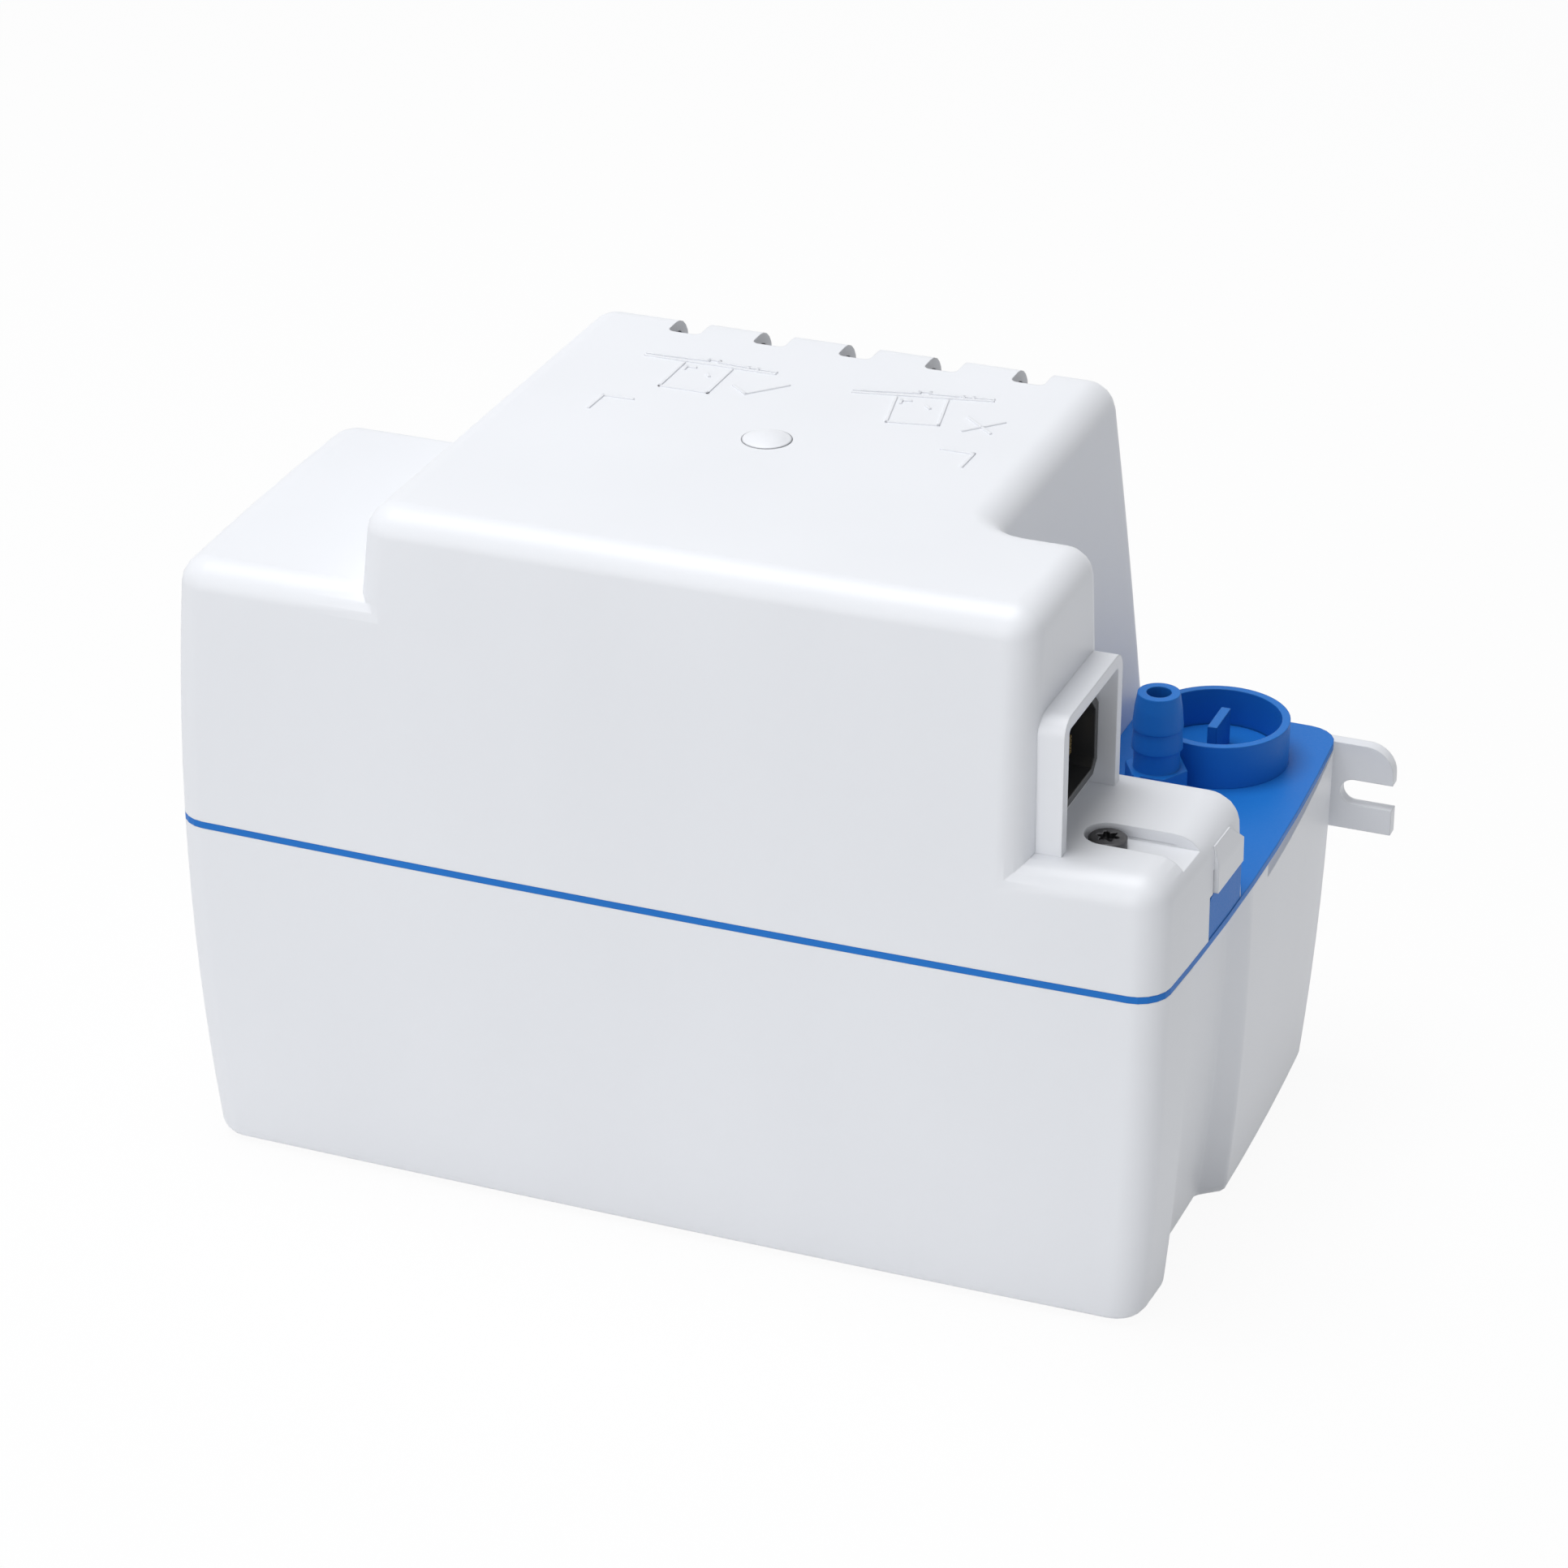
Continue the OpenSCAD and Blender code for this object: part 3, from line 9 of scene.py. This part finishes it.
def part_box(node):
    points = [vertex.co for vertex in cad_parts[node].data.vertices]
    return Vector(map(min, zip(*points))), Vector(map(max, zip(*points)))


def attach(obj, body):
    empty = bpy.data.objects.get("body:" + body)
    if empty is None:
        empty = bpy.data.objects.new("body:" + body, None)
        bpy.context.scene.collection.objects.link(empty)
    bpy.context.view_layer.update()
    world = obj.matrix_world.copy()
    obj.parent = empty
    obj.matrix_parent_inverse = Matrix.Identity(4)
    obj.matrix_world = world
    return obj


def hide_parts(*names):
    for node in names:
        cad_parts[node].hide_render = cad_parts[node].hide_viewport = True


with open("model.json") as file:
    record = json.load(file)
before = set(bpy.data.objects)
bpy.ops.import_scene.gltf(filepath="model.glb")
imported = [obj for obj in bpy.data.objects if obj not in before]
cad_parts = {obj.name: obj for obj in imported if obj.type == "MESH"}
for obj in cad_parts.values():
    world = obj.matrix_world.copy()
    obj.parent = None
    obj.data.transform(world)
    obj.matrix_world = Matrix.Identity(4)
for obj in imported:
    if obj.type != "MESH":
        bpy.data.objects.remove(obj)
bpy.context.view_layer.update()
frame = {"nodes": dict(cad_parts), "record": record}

MM = 0.001

# Camera, solved from the rim's corners, with its lens and sensor in millimetres
CAMERA_PLACE = Vector((0.3570, -0.8948, 0.5663))
CAMERA_TILT = math.radians(90 - 26.8856)
CAMERA_TURN = math.radians(21.5345)
CAMERA_LENS = 113.96
CAMERA_SENSOR = 36
CAMERA_REACH = 20

# Stage: the floor, the sky and two soft lamps, in metres and watts
FLOOR_SIZE = 6
FLOOR_Z = -0.2 * MM
FLOOR_ROUGH = 0.9
FLOOR_DARK = (0.88, 0.88, 0.88)
FLOOR_LIGHT = (0.9, 0.9, 0.9)
FLOOR_WHITE_SHARE = 0.93
SKY_COLOR = (0.95, 0.97, 1.0, 1)
SKY_STRENGTH = 0.33
LAMP_TARGET = Vector((0, 0, 0.08))
TOP_LAMP_PLACE = Vector((-0.3, -0.1, 1.7))
TOP_LAMP_SIZE = 1.2
TOP_LAMP_POWER = 19
FRONT_LAMP_PLACE = Vector((-0.4, -1.8, 0.6))
FRONT_LAMP_SIZE = 1.4
FRONT_LAMP_POWER = 9.5

# Angles above which an edge stays sharp
HOUSING_ANGLE = math.radians(38)
SCREW_ANGLE = math.radians(30)

# Range that most noise values lie in
NOISE_LOW = 0.3
NOISE_HIGH = 0.7

# Base colours of the plastics
WHITE = (0.83, 0.845, 0.88)
BLUE = (0.012, 0.17, 0.58)
BLACK = (0.035, 0.036, 0.038)


# Node materials
def new_material(name):
    mat = bpy.data.materials.new(name)
    mat.use_nodes = True
    tree = mat.node_tree
    shader = tree.nodes["Principled BSDF"]
    place = tree.nodes.new("ShaderNodeTexCoord")
    return mat, tree, shader, place.outputs["Object"]


def noise(tree, place, scale, detail=3.0, stretch=None):
    """Noise with so many waves in a metre."""
    if stretch:
        mapping = tree.nodes.new("ShaderNodeMapping")
        mapping.inputs["Scale"].default_value = stretch
        tree.links.new(place, mapping.inputs["Vector"])
        place = mapping.outputs["Vector"]
    node = tree.nodes.new("ShaderNodeTexNoise")
    node.inputs["Scale"].default_value = scale
    node.inputs["Detail"].default_value = detail
    tree.links.new(place, node.inputs["Vector"])
    return node.outputs["Fac"]


def bands(tree, place, direction, scale, distortion):
    """Even bands across one direction."""
    node = tree.nodes.new("ShaderNodeTexWave")
    node.bands_direction = direction
    node.inputs["Scale"].default_value = scale
    node.inputs["Distortion"].default_value = distortion
    tree.links.new(place, node.inputs["Vector"])
    return node.outputs["Fac"]


def ramp(tree, value, low, high):
    """Stretches a noise value to run from low to high."""
    node = tree.nodes.new("ShaderNodeMapRange")
    node.inputs["From Min"].default_value = NOISE_LOW
    node.inputs["From Max"].default_value = NOISE_HIGH
    node.inputs["To Min"].default_value = low
    node.inputs["To Max"].default_value = high
    tree.links.new(value, node.inputs["Value"])
    return node.outputs["Result"]


def tint(tree, value, dark, light):
    node = tree.nodes.new("ShaderNodeMix")
    node.data_type = "RGBA"
    node.inputs["A"].default_value = (*dark, 1)
    node.inputs["B"].default_value = (*light, 1)
    tree.links.new(value, node.inputs["Factor"])
    return node.outputs["Result"]


def color_from(tree, shader, value, dark, light):
    tree.links.new(tint(tree, ramp(tree, value, 0, 1), dark, light), shader.inputs["Base Color"])


def roughness_from(tree, shader, value, low, high):
    tree.links.new(ramp(tree, value, low, high), shader.inputs["Roughness"])


def bump(tree, shader, heights, edge_r=0.0):
    """Lays bumps over each other; heights holds a value, its depth and its strength."""
    edge_samples = 6
    normal = None
    if edge_r:
        bevel = tree.nodes.new("ShaderNodeBevel")
        bevel.samples = edge_samples
        bevel.inputs["Radius"].default_value = edge_r
        normal = bevel.outputs["Normal"]
    for value, depth, strength in heights:
        node = tree.nodes.new("ShaderNodeBump")
        node.inputs["Distance"].default_value = depth
        node.inputs["Strength"].default_value = strength
        tree.links.new(value, node.inputs["Height"])
        if normal:
            tree.links.new(normal, node.inputs["Normal"])
        normal = node.outputs["Normal"]
    tree.links.new(normal, shader.inputs["Normal"])


def shades(color, spread):
    dark = tuple(c * (1 - spread) for c in color)
    light = tuple(min(1.0, c * (1 + spread)) for c in color)
    return dark, light


def plastic(name, color, rough, spread, inner_glow=0.0, sheen=0.5):
    """Moulded plastic: fine spark-eroded grain, a slow waviness and faint flow shades."""
    flow_stretch = (1.0, 1.0, 0.4)
    rough_below = 0.04
    rough_above = 0.06
    wave_depth = 0.04 * MM
    grain_depth = 0.01 * MM
    edge_r = 0.4 * MM
    glow_depth = 4 * MM
    mat, tree, shader, place = new_material(name)
    flow = noise(tree, place, 22, 2.0, flow_stretch)
    grain = noise(tree, place, 2600, 2.0)
    wave = noise(tree, place, 60, 1.0)
    color_from(tree, shader, flow, *shades(color, spread))
    roughness_from(tree, shader, grain, rough - rough_below, rough + rough_above)
    bump(tree, shader, [(wave, wave_depth, 0.25), (grain, grain_depth, 0.5)], edge_r)
    shader.inputs["Subsurface Weight"].default_value = inner_glow
    shader.inputs["Subsurface Radius"].default_value = (glow_depth, glow_depth, glow_depth)
    shader.inputs["Subsurface Scale"].default_value = 0.3
    shader.inputs["Specular IOR Level"].default_value = sheen
    return mat


def metal(name, color, rough, stretch):
    """Metal with drawn or turned marks along one direction."""
    rough_below = 0.1
    rough_above = 0.12
    mark_depth = 0.01 * MM
    edge_r = 0.2 * MM
    mat, tree, shader, place = new_material(name)
    marks = noise(tree, place, 900, 4.0, stretch)
    stain = noise(tree, place, 90)
    color_from(tree, shader, stain, *shades(color, 0.1))
    roughness_from(tree, shader, marks, rough - rough_below, rough + rough_above)
    bump(tree, shader, [(marks, mark_depth, 0.4)], edge_r)
    shader.inputs["Metallic"].default_value = 1.0
    return mat


def rubber(name):
    """Dull black rubber with a little dust."""
    grain_depth = 0.02 * MM
    mat, tree, shader, place = new_material(name)
    dust = noise(tree, place, 300, 4.0)
    grain = noise(tree, place, 1800)
    color_from(tree, shader, dust, (0.018, 0.018, 0.019), (0.035, 0.034, 0.033))
    roughness_from(tree, shader, dust, 0.6, 0.75)
    bump(tree, shader, [(grain, grain_depth, 0.5)])
    return mat


def winding(name):
    """Enamelled wire, laid round the bobbin."""
    wire_depth = 0.2 * MM
    mat, tree, shader, place = new_material(name)
    wires = bands(tree, place, "Y", 560, 0.6)
    stain = noise(tree, place, 120)
    color_from(tree, shader, stain, (0.34, 0.11, 0.04), (0.52, 0.2, 0.08))
    roughness_from(tree, shader, stain, 0.28, 0.42)
    bump(tree, shader, [(wires, wire_depth, 1.0)])
    shader.inputs["Metallic"].default_value = 0.8
    return mat


def laminations(name):
    """Stacked electrical sheets, seen as fine lines round the core's edges."""
    sheet_depth = 0.1 * MM
    mat, tree, shader, place = new_material(name)
    sheets = bands(tree, place, "Z", 320, 0.2)
    stain = noise(tree, place, 150, 4.0)
    color_from(tree, shader, stain, (0.12, 0.12, 0.125), (0.24, 0.235, 0.23))
    roughness_from(tree, shader, stain, 0.35, 0.55)
    bump(tree, shader, [(sheets, sheet_depth, 0.8)])
    shader.inputs["Metallic"].default_value = 0.9
    return mat


def clear_tube(name):
    """Milky tube that lets half of the light through."""
    haze_depth = 0.03 * MM
    mat, tree, shader, place = new_material(name)
    haze = noise(tree, place, 200)
    color_from(tree, shader, haze, (0.72, 0.69, 0.58), (0.82, 0.8, 0.7))
    roughness_from(tree, shader, haze, 0.16, 0.3)
    bump(tree, shader, [(haze, haze_depth, 0.3)])
    shader.inputs["Transmission Weight"].default_value = 0.5
    shader.inputs["IOR"].default_value = 1.45
    return mat


LOOKS = {
    "white_plastic": plastic("white_plastic", WHITE, 0.42, 0.012, inner_glow=0.05),
    "blue_plastic": plastic("blue_plastic", BLUE, 0.46, 0.04, sheen=0.2),
    "black_plastic": plastic("black_plastic", BLACK, 0.32, 0.15),
    "clear_tube": clear_tube("clear_tube"),
    "seal_rubber": rubber("seal_rubber"),
    "plated_steel": metal("plated_steel", (0.56, 0.56, 0.55), 0.34, (1, 1, 6)),
    "black_steel": metal("black_steel", (0.085, 0.085, 0.09), 0.4, (1, 1, 4)),
    "copper_wire": winding("copper_wire"),
    "contact_brass": metal("contact_brass", (0.74, 0.55, 0.24), 0.26, (1, 6, 6)),
    "core_steel": laminations("core_steel"),
    "stainless": metal("stainless", (0.6, 0.61, 0.62), 0.2, (1, 1, 8)),
}


def paint(obj, look):
    obj.data.materials.clear()
    obj.data.materials.append(LOOKS[look])


def dress_nodes():
    for part in frame["record"]["subparts"]:
        paint(frame["nodes"][part["node"]], part["material_slot"])


# Pieces of the scene's own
def lowest(node):
    return Vector(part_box(node)[0])


def highest(node):
    return Vector(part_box(node)[1])


def add_piece(mesh, bm, look, body="housing"):
    """Writes bm into mesh and shows it as a painted piece that rides on its body."""
    bm.to_mesh(mesh)
    bm.free()
    obj = bpy.data.objects.new(mesh.name, mesh)
    bpy.context.collection.objects.link(obj)
    paint(obj, look)
    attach(obj, body)
    return obj


def smoothed(node, name, look):
    """A copy of a faceted housing, smooth but for its sharp edges."""
    weld_gap = 0.02 * MM
    least_edge = 0.01 * MM
    mesh = frame["nodes"][node].data.copy()
    mesh.name = name
    bm = bmesh.new()
    bm.from_mesh(mesh)
    bmesh.ops.remove_doubles(bm, verts=bm.verts, dist=weld_gap)
    bmesh.ops.dissolve_degenerate(bm, edges=bm.edges, dist=least_edge)
    for face in bm.faces:
        face.smooth = True
    for edge in bm.edges:
        edge.smooth = len(edge.link_faces) == 2 and edge.calc_face_angle(0) < HOUSING_ANGLE
    obj = add_piece(mesh, bm, look)
    weigh = obj.modifiers.new("weigh", "WEIGHTED_NORMAL")
    weigh.keep_sharp = True
    weigh.weight = 60
    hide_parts(node)


# Raised marks on the cover's top: a tank standing level with a tick, and a tilted one with a cross.
# Outlines are in millimetres, those of a tank from the middle of its lid.
MARK_H = 0.32 * MM
MARK_W = 0.65
MARK_BEVEL = 0.1 * MM
TOP_Z = 158.4 * MM
LEVEL_TANK = (-27.5, 35.6)
TILTED_TANK = (22.0, 35.4)
TILT = math.radians(11.5)
TANK_OUTLINES = [
    [(-15.2, 0), (15.2, 0)],
    [(-15.2, 1.1), (-1, 1.8), (-1, 2.5), (1.4, 2.5), (1.4, 1.8), (15.2, 1.0)],
    [(8.7, 1.6), (8.7, 0.4)],
    [(10.9, 1.5), (10.9, 0.4)],
    [(-5.6, -1.2), (-5.6, -15.1), (5.6, -15.1), (5.6, -1.2)],
    [(-4.2, -4.4), (-4.2, -2.8), (-2.2, -2.8)],
    [(1.6, -5.2), (2.4, -6.4)],
]
TICK = [(-18.1, 26.2), (-14.1, 22.9), (-7.1, 30.7)]
CROSS_BARS = [[(36.3, 20.7), (43.1, 28.2)], [(34.9, 28.1), (42.2, 21.5)]]
LEFT_CORNER = [(-42.4, 3.6), (-42.2, 11.0), (-35.4, 11.3)]
RIGHT_CORNER = [(35.4, 10.0), (42.7, 9.9), (42.6, 2.6)]


def stroke(a, b):
    """The outline of one straight stroke from a to b."""
    a, b = Vector(a), Vector(b)
    along = (b - a).normalized() * MARK_W / 2
    side = along.orthogonal()
    a, b = a - along, b + along
    return [a + side, a - side, b - side, b + side]


def strokes(points):
    return [stroke(a, b) for a, b in zip(points, points[1:])]


def tank_mark(place, angle):
    """A box under a wide thin lid with a raised middle."""
    turn = Matrix.Rotation(angle, 2)
    middle = Vector(place)
    shapes = [shape for outline in TANK_OUTLINES for shape in strokes(outline)]
    return [[middle + turn @ point for point in shape] for shape in shapes]


def slab(bm, outline):
    """A block over the outline, half of it sunk in the cover."""
    ring = [bm.verts.new((p.x * MM, p.y * MM, TOP_Z - MARK_H)) for p in outline]
    face = bm.faces.new(ring)
    face.normal_update()
    if face.normal.z < 0:
        face.normal_flip()
    lifted = bmesh.ops.extrude_face_region(bm, geom=[face])
    top = [v for v in lifted["geom"] if isinstance(v, bmesh.types.BMVert)]
    bmesh.ops.translate(bm, verts=top, vec=(0, 0, 2 * MARK_H))


def make_marks():
    shapes = tank_mark(LEVEL_TANK, 0) + tank_mark(TILTED_TANK, TILT)
    for outline in [TICK, *CROSS_BARS, LEFT_CORNER, RIGHT_CORNER]:
        shapes += strokes(outline)
    bm = bmesh.new()
    for shape in shapes:
        slab(bm, shape)
    bmesh.ops.recalc_face_normals(bm, faces=bm.faces)
    obj = add_piece(bpy.data.meshes.new("top_marks"), bm, "white_plastic")
    bevel = obj.modifiers.new("bevel", "BEVEL")
    bevel.width = MARK_BEVEL
    bevel.segments = 2


# Round pieces, built of rings
def ring(bm, centre, radii, z):
    """One closed ring of points, with a radius for each."""
    step = 2 * math.pi / len(radii)
    return [bm.verts.new((centre.x + r * math.cos(step * k), centre.y + r * math.sin(step * k), z))
            for k, r in enumerate(radii)]


def join_rings(bm, rings):
    """Side faces between the rings, and one face that closes the lowest ring."""
    for low, high in zip(rings, rings[1:]):
        for k in range(len(low)):
            n = (k + 1) % len(low)
            bm.faces.new((low[k], low[n], high[n], high[k]))
    bm.faces.new(list(reversed(rings[0])))


def smooth_sides(bm):
    for face in bm.faces:
        face.smooth = len(face.verts) < 5


def make_button():
    """Low dome in the middle of the top, its rim sunk just under the surface."""
    sides = 64
    levels = 10
    radius = 5.55 * MM
    rim = Vector((-0.6, 1.6, 158.38)) * MM
    below_top = 0.003 * MM
    height = highest("cover").z - rim.z - below_top
    ball_r = (radius ** 2 + height ** 2) / (2 * height)
    ball_z = rim.z + height - ball_r
    bm = bmesh.new()
    rings = []
    for i in range(levels):
        r = radius * (1 - i / levels)
        rings.append(ring(bm, rim, [r] * sides, ball_z + math.sqrt(ball_r ** 2 - r ** 2)))
    join_rings(bm, rings)
    tip = bm.verts.new((rim.x, rim.y, rim.z + height))
    last = rings[-1]
    for k in range(sides):
        bm.faces.new((last[k], last[(k + 1) % sides], tip))
    smooth_sides(bm)
    add_piece(bpy.data.meshes.new("top_button"), bm, "white_plastic")


def lobed(radius, depth, lobes, steps):
    """Radii of a star with round lobes."""
    turn = 2 * math.pi / steps
    return [radius - depth * (1 - math.cos(lobes * turn * k)) / 2 for k in range(steps)]


def make_screw():
    """Cover screw: a pan head with a six-lobed socket, on its shank."""
    steps = 96
    head_h = 2.4 * MM
    head_edge = 0.35 * MM
    edge_drop_share = 0.1
    crown_share = 0.8
    shank_r = 1.9 * MM
    socket_r = 2.35 * MM
    lobe_depth = 0.85 * MM
    socket_edge = 0.12 * MM
    socket_depth = 1.4 * MM
    low, high = lowest("cover_screw"), highest("cover_screw")
    head_r = (high.x - low.x) / 2
    socket = lobed(socket_r, lobe_depth, 6, steps)
    levels = [
        ([shank_r] * steps, low.z),
        ([shank_r] * steps, high.z - head_h),
        ([head_r] * steps, high.z - head_h),
        ([head_r] * steps, high.z - head_edge),
        ([head_r - head_edge] * steps, high.z - head_edge * edge_drop_share),
        ([head_r * crown_share] * steps, high.z),
        ([r + socket_edge for r in socket], high.z),
        (socket, high.z - socket_edge),
        (socket, high.z - socket_depth),
    ]
    bm = bmesh.new()
    rings = [ring(bm, (low + high) / 2, radii, z) for radii, z in levels]
    join_rings(bm, rings)
    bm.faces.new(rings[-1])
    bmesh.ops.recalc_face_normals(bm, faces=bm.faces)
    smooth_sides(bm)
    for edge in bm.edges:
        edge.smooth = edge.calc_face_angle(0) < SCREW_ANGLE
    obj = add_piece(bpy.data.meshes.new("screw_head"), bm, "black_steel")
    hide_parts("cover_screw")


# Stage
def white_where_seen(tree, surface, share):
    """Mixes in plain white for camera, glossy and transmission rays."""
    rays = tree.nodes.new("ShaderNodeLightPath")
    seen = rays.outputs["Is Camera Ray"]
    for kind in ("Is Glossy Ray", "Is Transmission Ray"):
        either = tree.nodes.new("ShaderNodeMath")
        either.operation = "MAXIMUM"
        tree.links.new(seen, either.inputs[0])
        tree.links.new(rays.outputs[kind], either.inputs[1])
        seen = either.outputs[0]
    scaled = tree.nodes.new("ShaderNodeMath")
    scaled.operation = "MULTIPLY"
    scaled.inputs[1].default_value = share
    tree.links.new(seen, scaled.inputs[0])
    glow = tree.nodes.new("ShaderNodeEmission")
    mix = tree.nodes.new("ShaderNodeMixShader")
    tree.links.new(scaled.outputs[0], mix.inputs["Fac"])
    tree.links.new(surface, mix.inputs[1])
    tree.links.new(glow.outputs[0], mix.inputs[2])
    return mix.outputs[0]


def make_floor():
    bpy.ops.mesh.primitive_plane_add(size=FLOOR_SIZE, location=(0, 0, FLOOR_Z))
    floor = bpy.context.object
    floor.name = "floor"
    mat, tree, shader, place = new_material("floor")
    shader.inputs["Roughness"].default_value = FLOOR_ROUGH
    faint = noise(tree, place, 3)
    tree.links.new(tint(tree, faint, FLOOR_DARK, FLOOR_LIGHT), shader.inputs["Base Color"])
    out = tree.nodes["Material Output"]
    white = white_where_seen(tree, shader.outputs[0], FLOOR_WHITE_SHARE)
    tree.links.new(white, out.inputs["Surface"])
    floor.data.materials.append(mat)


def make_world():
    world = bpy.data.worlds.new("world")
    bpy.context.scene.world = world
    world.use_nodes = True
    tree = world.node_tree
    sky = tree.nodes["Background"]
    sky.inputs["Color"].default_value = SKY_COLOR
    sky.inputs["Strength"].default_value = SKY_STRENGTH
    out = tree.nodes["World Output"]
    tree.links.new(white_where_seen(tree, sky.outputs[0], 1.0), out.inputs["Surface"])


def soft_lamp(name, place, size, power):
    """A round lamp that looks at the middle of the pump."""
    lamp = bpy.data.lights.new(name, "AREA")
    lamp.shape = "DISK"
    lamp.size = size
    lamp.energy = power
    obj = bpy.data.objects.new(name, lamp)
    bpy.context.collection.objects.link(obj)
    obj.location = place
    obj.rotation_euler = (LAMP_TARGET - place).to_track_quat("-Z", "Y").to_euler()


def make_camera():
    lens = bpy.data.cameras.new("camera")
    lens.lens = CAMERA_LENS
    lens.sensor_width = CAMERA_SENSOR
    lens.clip_end = CAMERA_REACH
    camera = bpy.data.objects.new("camera", lens)
    bpy.context.collection.objects.link(camera)
    camera.location = CAMERA_PLACE
    camera.rotation_euler = (CAMERA_TILT, 0, CAMERA_TURN)
    bpy.context.scene.camera = camera


make_camera()
dress_nodes()
smoothed("tank", "tank_shell", "white_plastic")
smoothed("cover", "cover_shell", "white_plastic")
make_marks()
make_button()
make_screw()
make_floor()
make_world()
soft_lamp("top_lamp", TOP_LAMP_PLACE, TOP_LAMP_SIZE, TOP_LAMP_POWER)
soft_lamp("front_lamp", FRONT_LAMP_PLACE, FRONT_LAMP_SIZE, FRONT_LAMP_POWER)
bpy.context.scene.view_settings.view_transform = "Standard"
